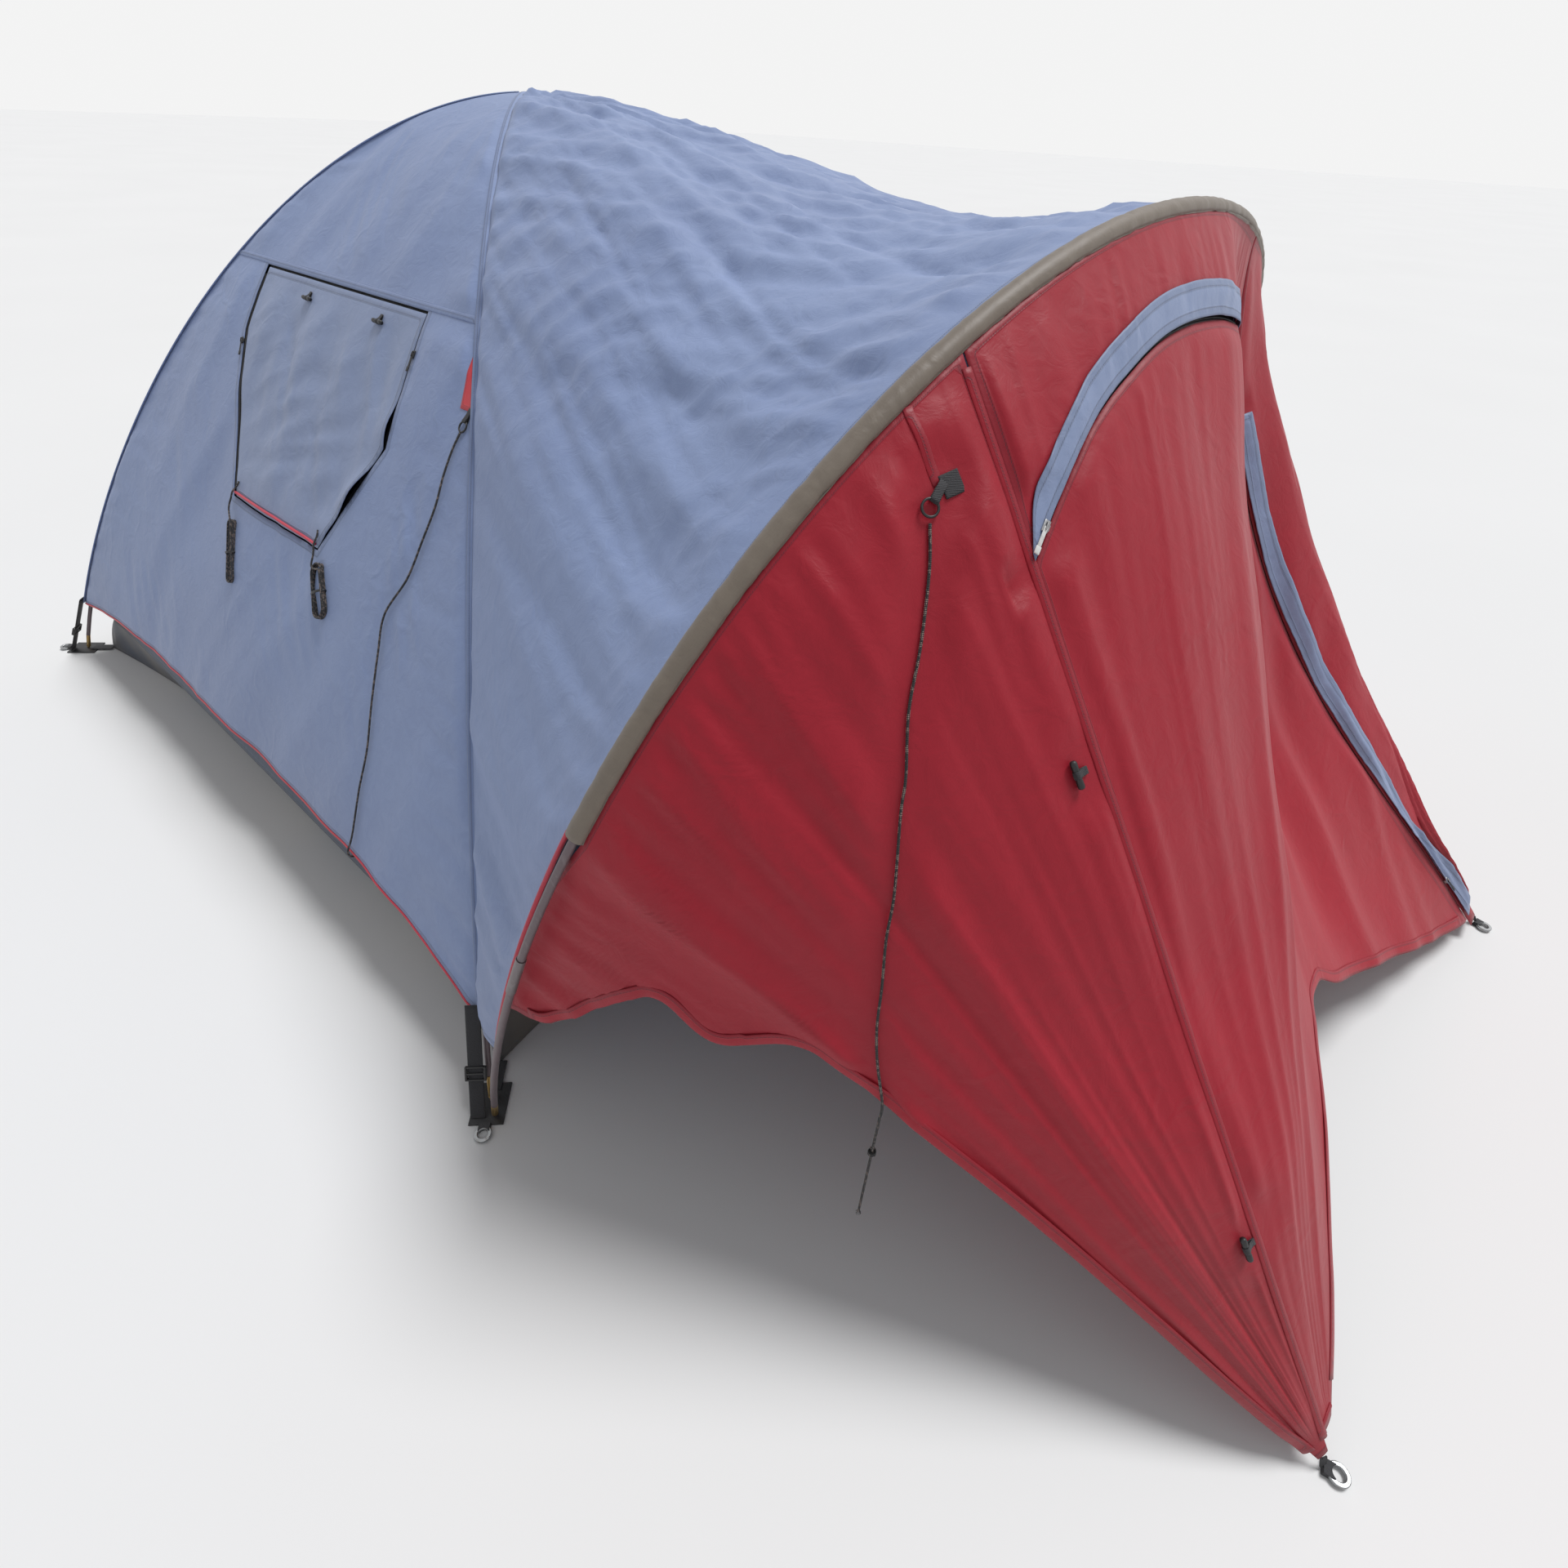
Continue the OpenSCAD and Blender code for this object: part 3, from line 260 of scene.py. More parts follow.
# %% [markdown]
# ## Cords
# The tent has four free cords. Two guy cords hang from rings on the fly, one on the cabin and one on the vestibule,
# and end at the ground side of the tent without a peg. The window flap's two cords are wound into hanks. A cord is a
# limp braid of 3.5 mm, and each is swept along its own route, so that its whole length is there.

# %% Sweep a round cord along its route
CORD = 0.0035


def smooth_route(points, step=0.006):
    """Points about a step apart on a smooth curve through the given ones."""
    points = [Vector(p) for p in points]
    ends = [points[0] * 2 - points[1]] + points + [points[-1] * 2 - points[-2]]
    line = [points[0]]
    for i in range(1, len(ends) - 2):
        a, b, c, d = ends[i - 1:i + 3]
        count = max(1, round((c - b).length / step))
        for j in range(1, count + 1):
            k = j / count
            line.append(0.5 * (2 * b + (c - a) * k + (2 * a - 5 * b + 4 * c - d) * k * k
                               + (3 * b - a - 3 * c + d) * k ** 3))
    return line


def length_of(line):
    return sum((b - a).length for a, b in zip(line, line[1:]))


def swept(line, halves, sides=10, first=Vector((0, 0, 1)), outs=None, swell=None, caps=True):
    """A tube along line. halves are its two half widths, and first is the way of the first one. The rings turn with
    the line, so that the tube isn't wrung. With outs, the second half width points that way at each point.
    swell(angle, s) makes it thicker or thinner at share s."""
    count = len(line)
    tangents = [(line[min(i + 1, count - 1)] - line[max(i - 1, 0)]).normalized() for i in range(count)]
    side = first - tangents[0] * first.dot(tangents[0])
    if side.length < 1e-6:
        side = tangents[0].orthogonal()
    sides_of = []
    for i in range(count):
        if outs:
            side = outs[i].cross(tangents[i])
        side = (side - tangents[i] * side.dot(tangents[i])).normalized()
        sides_of.append(side)

    def place(u, v):
        i = round(v * (count - 1))
        a, b = sides_of[i], tangents[i].cross(sides_of[i])
        angle = 2 * math.pi * u
        size = swell(angle, i / (count - 1)) if swell else 1
        return line[i] + a * (halves[0] * size * math.cos(angle)) + b * (halves[1] * size * math.sin(angle))

    bm = surface(sides, count - 1, place, (2 * math.pi * halves[0], length_of(line)), closed=True)
    if caps:
        bmesh.ops.holes_fill(bm, edges=[e for e in bm.edges if e.is_boundary], sides=sides * 2)
    bmesh.ops.recalc_face_normals(bm, faces=bm.faces)
    return bm


def cord(name, points, body, node, exit_point):
    line = smooth_route(points)
    piece = finished(name, swept(line, (CORD / 2, CORD / 2), 8, Vector((1, 0.1, 0))), body, "cord_black")
    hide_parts(node)
    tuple(exit_point)
    round(length_of(line), 3)
    print(name, round(length_of(line), 3), "m")


# %% The guy cord of the cabin
side_route = [(0.551, -0.5899, 0.8715), (0.550, -0.610, 0.847), (0.553, -0.637, 0.811), (0.560, -0.664, 0.773),
              (0.556, -0.698, 0.723), (0.546, -0.735, 0.665), (0.512, -0.775, 0.601), (0.523, -0.810, 0.542),
              (0.538, -0.852, 0.465), (0.553, -0.889, 0.394), (0.553, -0.925, 0.323), (0.554, -0.964, 0.239),
              (0.554, -0.980, 0.212), (0.554, -0.982, 0.200), (0.554, -0.976, 0.1925), (0.554, -0.966, 0.191),
              (0.554, -0.956, 0.196), (0.554, -0.951, 0.210), (0.554, -0.948, 0.232)]
cord("side_cord", side_route, "tent", "side_guy_cord", side_route[0])

# %% The guy cord of the vestibule
vestibule_route = [(1.429, -0.580, 0.978), (1.448, -0.599, 0.939), (1.472, -0.634, 0.878), (1.489, -0.666, 0.823),
                   (1.513, -0.692, 0.765), (1.524, -0.709, 0.730), (1.550, -0.740, 0.653), (1.561, -0.760, 0.606),
                   (1.576, -0.778, 0.553), (1.587, -0.793, 0.507), (1.601, -0.803, 0.462), (1.623, -0.813, 0.409),
                   (1.625, -0.816, 0.380), (1.625, -0.816, 0.340), (1.625, -0.816, 0.260), (1.625, -0.816, 0.140)]
cord("vestibule_cord", vestibule_route, "tent", "vestibule_guy_cord", vestibule_route[0])

# %% [markdown]
# ## The cabin's shape
# The cabin is a dome on two poles that cross at its top, so its four sides are alike, and each is straight from
# pole to pole. Two roundness values say how the poles bend: one in plan and one towards the top. A side's hem is
# highest at its middle, because the cloth is pulled to the corners. The same rule with a smaller size gives the
# inner tent that hangs below the poles.

# %% The dome's rule
HALF, DOME, ROUND, CROWN = 1.05, 1.3, 1.73, 1.13
HEM_CORNER, HEM_LIFT = 0.15, 0.06


def sin_d(t):
    return max(0.0, math.sin(math.radians(t)))


def cos_d(t):
    return math.cos(math.radians(t))


def keep(z, high=DOME):
    """The share of its half width that the dome still has at height z."""
    return max(0.0, 1 - (max(0.0, z) / high) ** CROWN) ** (1 / ROUND)


def pole_z(t, high=DOME):
    return high * sin_d(t) ** (2 / CROWN)


def pole_t(z, high=DOME):
    return math.degrees(math.asin((z / high) ** (CROWN / 2)))


def turned(p, side):
    """A point of the side that looks to -Y, turned to the side 0 (-Y), 1 (+X), 2 (+Y) or 3 (-X)."""
    x, y, z = p
    return Vector(((x, y, z), (-y, x, z), (-x, -y, z), (y, -x, z))[side])


HEM_T = pole_t(HEM_CORNER)
print("hem at", round(HEM_T, 2), "degrees of the pole")


# %% A point on a side of the fly
def fly_z(s, v):
    return pole_z(mix(HEM_T, 90, v)) + HEM_LIFT * (1 - abs(s) ** 4) * (1 - v) ** 2


def fly_side(u, v, side=0):
    s = 2 * u - 1
    z = fly_z(s, v)
    return turned((s * keep(z) * HALF, -keep(z) * HALF, z), side)


def fly_share(x, z):
    """The u and v of the place x, z on the side that looks to -Y."""
    s = max(-1.0, min(1.0, x / max(1e-6, keep(z) * HALF)))
    low, high = 0.0, 1.0
    for _ in range(24):
        v = (low + high) / 2
        low, high = (v, high) if fly_z(s, v) < z else (low, v)
    return (s + 1) / 2, low


print("top of the window is", [round(c, 3) for c in fly_side(*fly_share(0, 1.0))])

# %% [markdown]
# ## Folds in thin nylon
# Thin coated nylon hardly stretches, so that spare cloth stands up in narrow ridges that run along the pull, with
# wider and rounder valleys between them. Noise that is stretched along one way and bent at its zero line gives just
# this. It is worked out in code, with no simulation, so that the panels keep their sewn edges exactly together:
# every ripple dies out at a seam and at each fitting.


# %% Ridged folds
def folds(across, along, seed, width, length, blunt=0.004):
    """Folds about as wide and long as given, from about -1 to 1. They wander a little on their way."""
    drift = 0.4 * width * noise.noise(Vector((across / (3 * width), 2.2 * along / length, seed + 40)))
    a, b = (across + drift) / width, along / length
    first = noise.noise(Vector((a, b, seed)))
    second = noise.noise(Vector((2.1 * a, 1.4 * b, seed + 11)))
    return (0.9 - 2.6 * math.sqrt(first * first + blunt)
            + 0.35 * (0.9 - 2.6 * math.sqrt(second * second + 2.5 * blunt)))


def lumps(x, y, seed, size):
    return noise.noise(Vector((x / size, y / size, seed)))


def cloth_point(place, ripple, u, v, step=0.002):
    """The point of the rippled cloth and its outward direction."""
    right = place(min(1, u + step), v) - place(max(0, u - step), v)
    up = place(u, min(1, v + step)) - place(u, max(0, v - step))
    out = right.cross(up).normalized()
    return place(u, v) + out * ripple(u, v), out


def along_cloth(place, ripple, shares, step=0.002):
    """Two lists, of points and of outward directions, at each (u, v) of shares."""
    found = [cloth_point(place, ripple, u, v, step) for u, v in shares]
    return [p for p, _ in found], [o for _, o in found]


def steps(path, count):
    """path(k) at even steps of k from 0 to 1."""
    return [path(i / count) for i in range(count + 1)]


# %% [markdown]
# ## The side with the window
# The side panel is one triangle of cloth, cut out for the window. Its folds lean, because the guy point and the
# front corner pull on it from one side. The window flap is the cut-out piece itself, so that both are cut from the
# same rippled surface by the same six planes, and they still meet.

# %% The window's outline and the folds of the side
WINDOW = [(-0.320, 1.000), (-0.305, 0.890), (-0.145, 0.622), (0.235, 0.622), (0.360, 0.810), (0.320, 1.000)]
LEFT_EDGE = [(z, x) for x, z in WINDOW[2::-1]]
RIGHT_EDGE = [(z, x) for x, z in WINDOW[3:]]
GUY = (0.551, 0.894)
TOGGLES_X = (-0.09, 0.19)
# places x, z of the fittings, and how far around each one the cloth lies flat
calm_spots = [(GUY, 0.07), *(((x, 0.968), 0.04) for x in TOGGLES_X), ((-0.295, 0.872), 0.035),
              ((-0.273, 0.836), 0.035), ((0.33, 0.94), 0.035), ((0.338, 0.902), 0.035), ((-0.133, 0.64), 0.04),
              ((0.225, 0.64), 0.04)]
side_trace = [Vector((x, z)) for x, _, z in side_route]


def outline_gap(x, z):
    """How far a place is outside the window's outline, less than 0 inside it."""
    worst = -9.0
    for (x0, z0), (x1, z1) in zip(WINDOW, WINDOW[1:] + WINDOW[:1]):
        run = math.hypot(x1 - x0, z1 - z0)
        worst = max(worst, ((z0 - z) * (x1 - x0) - (x0 - x) * (z1 - z0)) / run)
    return worst


def side_ripple(u, v):
    x, _, z = fly_side(u, v)
    seam = 2 * min(u, 1 - u) * keep(z) * HALF
    lean = math.radians(66)
    across, along = x * math.sin(lean) - z * math.cos(lean), x * math.cos(lean) + z * math.sin(lean)
    high = 0.0055 * folds(across, along, 3.1, 0.2, 0.9, 0.012) + 0.009 * lumps(x, z, 8.2, 0.3)
    high += 0.0035 * folds(x + 0.7 * z, z, 5.7, 0.07, 0.3) * ease(2 * lumps(x, z, 9.6, 0.22) + 0.2)
    high += 0.004 * math.exp(-seam / 0.1) * folds(z, x, 4.4, 0.035, 0.25)
    for (sx, sz), size in calm_spots:
        high *= ease((math.hypot(x - sx, z - sz) - 0.2 * size) / size)
    window = outline_gap(x, z)
    high *= (0.45 + 0.55 * ease(abs(window) / 0.07)) * (0.1 + 0.9 * ease(abs(z - 1.0) / 0.04))
    if 0.46 < x < 0.62:                      # the cloth stays under the cord that lies on it
        high = min(high, mix(0.0008, high, ease((gap_to(Vector((x, z)), side_trace) - 0.006) / 0.04)))
    return high * ease(seam / 0.035) * ease((1.29 - z) / 0.08)


print("ripple beside the window", [round(1000 * side_ripple(u / 10, 0.5), 1) for u in range(11)], "mm")


# %% Cut along the window
def window_planes(grow):
    """A point and the outward way of each edge of the window's outline, which is moved out by grow."""
    for (x0, z0), (x1, z1) in zip(WINDOW, WINDOW[1:] + WINDOW[:1]):
        out = Vector((z1 - z0, 0, x0 - x1)).normalized()
        yield Vector((x0, 0, z0)) + out * grow, out


def trim(bm, planes):
    """Keeps only what lies inside all the planes."""
    for point, out in planes:
        bmesh.ops.bisect_plane(bm, geom=bm.verts[:] + bm.edges[:] + bm.faces[:], dist=1e-6, plane_co=point,
                               plane_no=out, clear_outer=True)


def cut_hole(bm, planes, gap_of, reach):
    """Takes away what lies inside all the planes. Only the faces within reach of the outline are divided."""
    for point, out in planes:
        near = [f for f in bm.faces if gap_of(f.calc_center_median()) < reach]
        parts = {v for f in near for v in f.verts} | {e for f in near for e in f.edges} | set(near)
        bmesh.ops.bisect_plane(bm, geom=list(parts), dist=1e-6, plane_co=point, plane_no=out)
    gone = [f for f in bm.faces if gap_of(f.calc_center_median()) < -1e-5]
    bmesh.ops.delete(bm, geom=gone, context="FACES")


# %% The side panels
SIDE_GRID, SIDE_UV, SIDE_CUT = (190, 150), (2.1, 1.75), (2.15, 1.85)
side_bm = surface(*SIDE_GRID, fly_side, SIDE_UV, side_ripple)
cut_hole(side_bm, window_planes(0), lambda p: outline_gap(p.x, p.z), 0.03)
rim = side_bm.verts.layers.float["rim"]
for vert in side_bm.verts:
    vert[rim] = min(vert[rim], max(0.0, outline_gap(vert.co.x, vert.co.z)))
merge(side_bm)
panel("fly_side_near", side_bm, "tent", "fly_blue", SIDE_CUT, ["fly_side_panel_near"])


def far_side(u, v):
    return fly_side(u, v, 2)


def far_ripple(u, v):
    return side_ripple(1 - u, v)


far_bm = surface(150, 120, far_side, SIDE_UV, far_ripple)
merge(far_bm)
panel("fly_side_far", far_bm, "tent", "fly_blue", SIDE_CUT, ["fly_side_panel_far"])


# %% [markdown]
# The rear panel is the same triangle without an opening. It is hung from the two poles only, so its folds run
# from the top straight down.

# %% The rear panel
def rear_side(u, v):
    return fly_side(u, v, 3)


def rear_ripple(u, v):
    z = fly_z(2 * u - 1, v)
    y = (1 - 2 * u) * keep(z) * HALF
    seam = 2 * min(u, 1 - u) * keep(z) * HALF
    high = 0.007 * folds(y * (1 + 0.5 * z), z, 31.0, 0.12, 1.1) + 0.006 * lumps(y, z, 32.0, 0.3)
    high += 0.003 * math.exp(-seam / 0.06) * folds(z, y, 34.4, 0.03, 0.2)
    return high * ease(seam / 0.035) * ease((1.29 - z) / 0.08)


rear_bm = surface(140, 110, rear_side, SIDE_UV, rear_ripple)
merge(rear_bm)
panel("fly_rear", rear_bm, "tent", "fly_blue", SIDE_CUT, ["fly_rear_panel"])

# %% [markdown]
# ## The window flap
# The flap closes the window from outside. It hangs from the window's top seam and is zipped on its left side. The
# right zip has sprung open a little, so its edge stands off in waves and the dark tape and mesh show beside it.

# %% The flap
def flap_ripple(u, v):
    x, _, z = fly_side(u, v)
    right = read_curve(z, RIGHT_EDGE)
    loose = ease(1 - (right - x) / 0.07) * ease((0.9 - z) / 0.06) * ease((z - 0.63) / 0.05)
    wave = 0.006 + 0.005 * math.sin(z * 62) + 0.003 * math.sin(z * 27 + 1)
    belly = ease(-outline_gap(x, z) / 0.1)
    soft = 0.0045 * folds(x + 0.3 * z, z, 12.5, 0.09, 0.4, 0.01) + 0.003 * folds(z - 0.4 * x, x, 13.5, 0.05, 0.2)
    return side_ripple(u, v) + loose * wave + belly * soft


FLAP_GAP, LEFT_MORE, TOP_MORE = 0.003, 0.009, 0.001    # the gap around the flap is wider on its left and over it
flap_bm = surface(*SIDE_GRID, fly_side, SIDE_UV, flap_ripple)
trim(flap_bm, [(point - out * (LEFT_MORE if out.x < -0.5 else TOP_MORE if out.z > 0.9 else 0.0), out)
               for point, out in window_planes(-FLAP_GAP)])
rim = flap_bm.verts.layers.float["rim"]
for vert in flap_bm.verts:
    vert[rim] = max(0.0, -FLAP_GAP - outline_gap(vert.co.x, vert.co.z))
panel("window_flap_cloth", flap_bm, "window_flap", "flap_blue", (0.69, 0.47), ["window_flap"])


# %% The mesh behind the flap
def mesh_side(u, v):
    point, out = cloth_point(fly_side, lambda a, b: min(side_ripple(a, b), flap_ripple(a, b)), u, v)
    return point - out * 0.0055


mesh_bm = surface(128, 60, lambda a, b: mesh_side(mix(0.16, 0.84, a), mix(0.40, 0.72, b)), (1.43, 0.56))
trim(mesh_bm, window_planes(0.014))
panel("window_mesh_cloth", mesh_bm, "tent", "window_mesh", (0.75, 0.5), ["window_mesh"], 0.0005)

# %% [markdown]
# ## The vestibule's shape
# The hoop stands ahead of the cabin and leans forward. From the sleeve on it, straight lines of cloth run to the
# two pegs. On the near side they all meet at the near peg. Over the front, which hangs in a little, they spread to
# the far peg. An angle around the hoop and a share of the way to the pegs give each point.

# %% The hoop
HOOP_X, HOOP_HALF, HOOP_HIGH = 1.066, 1.05, 1.26
HOOP_CROWN, HOOP_ROUND = 2.25, 2.2
LEAN = (math.sin(math.radians(15)), math.cos(math.radians(15)))
HOOP_OUT = Vector((LEAN[1], 0, -LEAN[0]))
FOLD_T, FAR_T, HINGE_T, SLEEVE_T = 95, 110, 65, 30      # degrees of the hoop
FRONT_T = FAR_T - FOLD_T
PEG_X, PEG_Y = 2.24, 0.61
SEAM_OFF, BARE_IN = 0.0115, 0.018              # the sleeve's seams beside the pole, and the cloth inside the bare pole
FRONT_SAG, FAR_SAG = 0.11, 0.085
VEST_GUY_T, VEST_GUY_U = 60.4, 0.063
ROLL_T, ROLL_SHARES = HINGE_T - 1.5, (0.31, 0.745)      # the toggles that hold the rolled door


def hoop(t, out=0.0):
    """A point of the hoop pole's centre line, or out metres outside it, from its near foot (0) to its far one (180)."""
    s, c = sin_d(t) ** (2 / HOOP_CROWN) * (HOOP_HIGH + out), cos_d(t)
    y = (HOOP_HALF + out) * math.copysign(abs(c) ** (2 / HOOP_ROUND), c)
    return Vector((HOOP_X + s * LEAN[0], -y, s * LEAN[1]))


def bare(t):
    """0 where the hoop is in its sleeve and 1 where it is bare."""
    return clamp((SLEEVE_T - min(t, 180 - t)) / 5)


def roof_edge(t):
    return hoop(t, -BARE_IN * bare(t)) - HOOP_OUT * (SEAM_OFF + 0.012 * bare(t))


def wall_edge(t):
    return hoop(t, -BARE_IN * bare(t)) + HOOP_OUT * mix(SEAM_OFF, -0.0169, bare(t))


hoop_lengths = [0.0]
for step in range(1, 361):
    hoop_lengths.append(hoop_lengths[-1] + (hoop(step / 2) - hoop(step / 2 - 0.5)).length)


def hoop_run(t):
    """The way along the hoop from its near foot."""
    i = min(359, max(0, int(t * 2)))
    return mix(hoop_lengths[i], hoop_lengths[i + 1], t * 2 - i)


print("the hoop is", round(hoop_lengths[-1], 3), "m long")


# %% A point of the vestibule
def front_share(t):
    """0 up to the fold, and 1 from the far end of the front on."""
    return clamp((t - FOLD_T) / FRONT_T)


def peg(t):
    return Vector((PEG_X, mix(-PEG_Y, PEG_Y, front_share(t)), 0))


front_in = Vector((-HOOP_HIGH, 0, HOOP_X - PEG_X)).normalized()
far_in = Vector((-0.55, -0.75, -0.35)).normalized()


def vest(t, u):
    """The point at t degrees of the hoop, at share u of the way from its sleeve to the pegs."""
    s = front_share(t)
    sag = math.sin(math.pi * max(0.0, u) ** 0.8)
    return (wall_edge(t).lerp(peg(t), u) + front_in * (FRONT_SAG * math.sin(math.pi * s) * sag)
            + far_in * (FAR_SAG * s * sag))


def vest_long(t):
    return (peg(t) - wall_edge(t)).length


HEM = [(0, 13), (0.06, 15), (0.14, 23), (0.22, 23), (0.3, 29), (1, 31)]
ARCH = [(65, 0.158), (68, 0.138), (73, 0.108), (77, 0.095), (84, 0.083), (93, 0.09), (100, 0.115), (105.5, 0.15)]
ZIP = [(0.15, 0.7), (0.2, 0.75), (0.27, 0.78), (0.38, 0.815), (0.46, 0.84), (0.58, 0.878), (0.71, 0.92),
       (0.83, 0.95), (0.97, 0.965)]
FRONT_HEM = [(0, 0.955), (0.07, 0.87), (0.15, 0.78), (0.22, 0.735), (0.33, 0.734), (0.42, 0.772), (0.51, 0.802),
             (0.66, 0.852), (0.83, 0.916), (0.95, 0.957)]
U_END = 0.972


def front_t(s):
    return mix(FOLD_T, FAR_T, s)


def zip_t(u):
    return front_t(read_curve(u, ZIP))


def arch_u(t):
    return read_curve(t, ARCH)


ARCH_END = front_t(read_curve(0, ZIP))
NEAR_SHARE = 8 / 14                          # the door's share before its fold
front_wide = {}


def front_width(u):
    key = round(u, 3)
    if key not in front_wide:
        front_wide[key] = (vest(FAR_T, u) - vest(FOLD_T, u)).length
    return front_wide[key]


def door_s(u):
    return read_curve(u, ZIP) - 0.003 / front_width(u)


def door_t(c):
    """The hoop angle at share c across the door's top, where its fold is at NEAR_SHARE."""
    if c > NEAR_SHARE:
        return front_t(door_s(0.15) * (c - NEAR_SHARE) / (1 - NEAR_SHARE))
    return mix(HINGE_T + 0.12, FOLD_T, c / NEAR_SHARE)


print("door's arch spans", round(door_t(0), 1), "to", round(door_t(1), 1), "degrees of the hoop")

# %% [markdown]
# The vestibule's folds run from the sleeve to the pegs, because all its pull runs that way, and they are closer
# together where the sleeve gathers the cloth. The walls and the door use one ripple over the whole vestibule, and so
# they still meet at the door's seam.

# %% Folds of the vestibule
vestibule_trace = [Vector(p) for p in vestibule_route]
# the same for the vestibule, in degrees of the hoop and shares
vest_spots = [(VEST_GUY_T, VEST_GUY_U), *((ROLL_T, share) for share in ROLL_SHARES), (67, 0.142), (48, 0.97),
              (132, 0.97)]


def vest_ripple(t, u):
    run, long = hoop_run(t), vest_long(t)
    door = ease((t - 64) / 8)
    pull = mix(folds(run, u * long, 21.0, 0.1, 1.5), folds(run, u * long, 24.0, 0.2, 1.2, 0.012), door)
    high = mix(0.0105, 0.008, door) * pull * (1 - u) ** 0.6 * ease(u / 0.06)
    high += 0.004 * (1 - 0.5 * door) * folds(run, u * long, 22.6, 0.034, 0.5) * math.exp(-u / 0.2) * ease(u / 0.03)
    high += 0.009 * lumps(run * (1 - 0.6 * u), u * long, 23.0, 0.3) * ease(u / 0.1)
    if t > FOLD_T:
        across = (t - FOLD_T) / FRONT_T * front_width(min(0.97, u))
        lean = across - 0.35 * u * long
        high += 0.012 * folds(lean, u * long, 25.0, 0.2, 0.8) * ease((t - FOLD_T) / 3) * ease(u / 0.3)
        high *= ease(abs(t - zip_t(max(0, u))) / FRONT_T * front_width(min(0.97, u)) / 0.035)
    if 62 < t < 107:
        high *= ease(abs(u - arch_u(t)) * long / 0.035)
    for st, su in vest_spots:
        gap = math.hypot((run - hoop_run(st)) * (1 - su), (u - su) * long)
        high *= ease((gap - 0.022) / 0.045)
    if t < 64 and u < 0.7:                   # the cloth stays under the cord that lies on it
        high = min(high, mix(-0.0006, high, ease((gap_to(vest(t, u), vestibule_trace) - 0.007) / 0.04)))
    seam = abs(t - HINGE_T) * 0.02 * (1 - u)
    return high * (0.15 + 0.85 * ease(seam / 0.03)) * ease(u * long / 0.02) * ease((0.99 - u) / 0.05)


print("ripple over the door", [round(1000 * vest_ripple(t, 0.5), 1) for t in range(40, 100, 5)], "mm")


# %% The near wall
def near_wall_at(u, v):
    share = U_END * u
    return mix(read_curve(share, HEM), HINGE_T - 0.03 / (1.02 - share), v), share


def on_vest(at):
    """A placing function and a ripple for a piece whose angle and share come from at(u, v)."""
    return (lambda u, v: vest(*at(u, v))), (lambda u, v: vest_ripple(*at(u, v)))


near_place, near_ripple = on_vest(near_wall_at)
near_bm = surface(150, 120, near_place, (1.65, 1.1), near_ripple)
panel("vestibule_near", near_bm, "tent", "fly_red", (1.75, 1.25), ["vestibule_wall_near"])


# %% The far wall
def far_wall_at(u, v):
    share = U_END * u
    return mix(zip_t(share), 180 - read_curve(share, HEM), v), share


far_place, far_wall_ripple = on_vest(far_wall_at)
far_wall_bm = surface(130, 110, far_place, (1.6, 1.2), far_wall_ripple)
panel("vestibule_far", far_wall_bm, "tent", "fly_red", (1.75, 1.4), ["vestibule_wall_far"])


# %% The brow between the sleeve and the door's arch
def over_arch_t(v):
    """The hoop angle at share v of the arch, which ends on the far zip rather than on the door's edge."""
    return door_t(v) + ease((v - 0.8) / 0.2) * (ARCH_END - 0.1 - door_t(1))


def brow_at(u, v):
    t = over_arch_t(v)
    return t, u * (arch_u(t) - 0.008 / vest_long(t))


brow_place, brow_ripple = on_vest(brow_at)
brow_bm = surface(26, 182, brow_place, (0.2, 0.85), brow_ripple)
panel("vestibule_brow_cloth", brow_bm, "tent", "fly_red", (0.34, 1.0), ["vestibule_brow"])

# %% [markdown]
# ## The door
# The door is one leaf with a sharp fold where the tent's near side turns into its front. The grid has a row of
# edges exactly on the fold, so that the crease stays crisp. Its top follows the arch of the zip, and its hem rises
# between the two pegs, where nothing pulls it down.

# %% The door leaf
def door_at(u, v):
    edge = door_t(v)
    share = max(0.0, (v - NEAR_SHARE) / (1 - NEAR_SHARE))
    hem = read_curve(share * door_s(0.95), FRONT_HEM) if v > NEAR_SHARE else 0.955
    way = mix(arch_u(edge) + 0.002 / vest_long(edge), hem, u)
    return (front_t(door_s(way) * share) if v > NEAR_SHARE else edge), way


door_place, door_ripple = on_vest(door_at)
door_bm = surface(130, 154, door_place, (1.35, 1.3), door_ripple)
panel("vestibule_door_cloth", door_bm, "vestibule_door", "fly_red", (1.5, 1.5), ["vestibule_door"])

# %% [markdown]
# ## The roof between the dome and the hoop
# The roof panel is sewn to the dome's front edge and to the back of the sleeve. Nothing holds it between them, so
# it sags, and its spare width stands in many small ridges that run from the dome to the sleeve. They are sharp near
# the top, where the panel is loose, and long and soft lower down.

# %% The roof panel
HOOP_T0, ROOF_SAG = 7, 0.07


def roof_ends(k):
    """The share from a hem to the top, and the near points of the dome and of the sleeve that the roof joins."""
    m = min(2 * k, 2 - 2 * k)
    z = pole_z(mix(HEM_T, 90, m))
    return m, Vector((keep(z) * HALF, -keep(z) * HALF, z)), roof_edge(mix(HOOP_T0, 90, m))


def roof(v, k):
    """v runs from the dome's edge to the sleeve, and k from the near hem over the top to the far one."""
    m, start, end = roof_ends(k)
    p = start.lerp(end, v)
    p.z -= ROOF_SAG * math.sin(math.pi * v * v) * sin_d(90 * m)
    return Vector((p.x, -p.y if k > 0.5 else p.y, p.z))


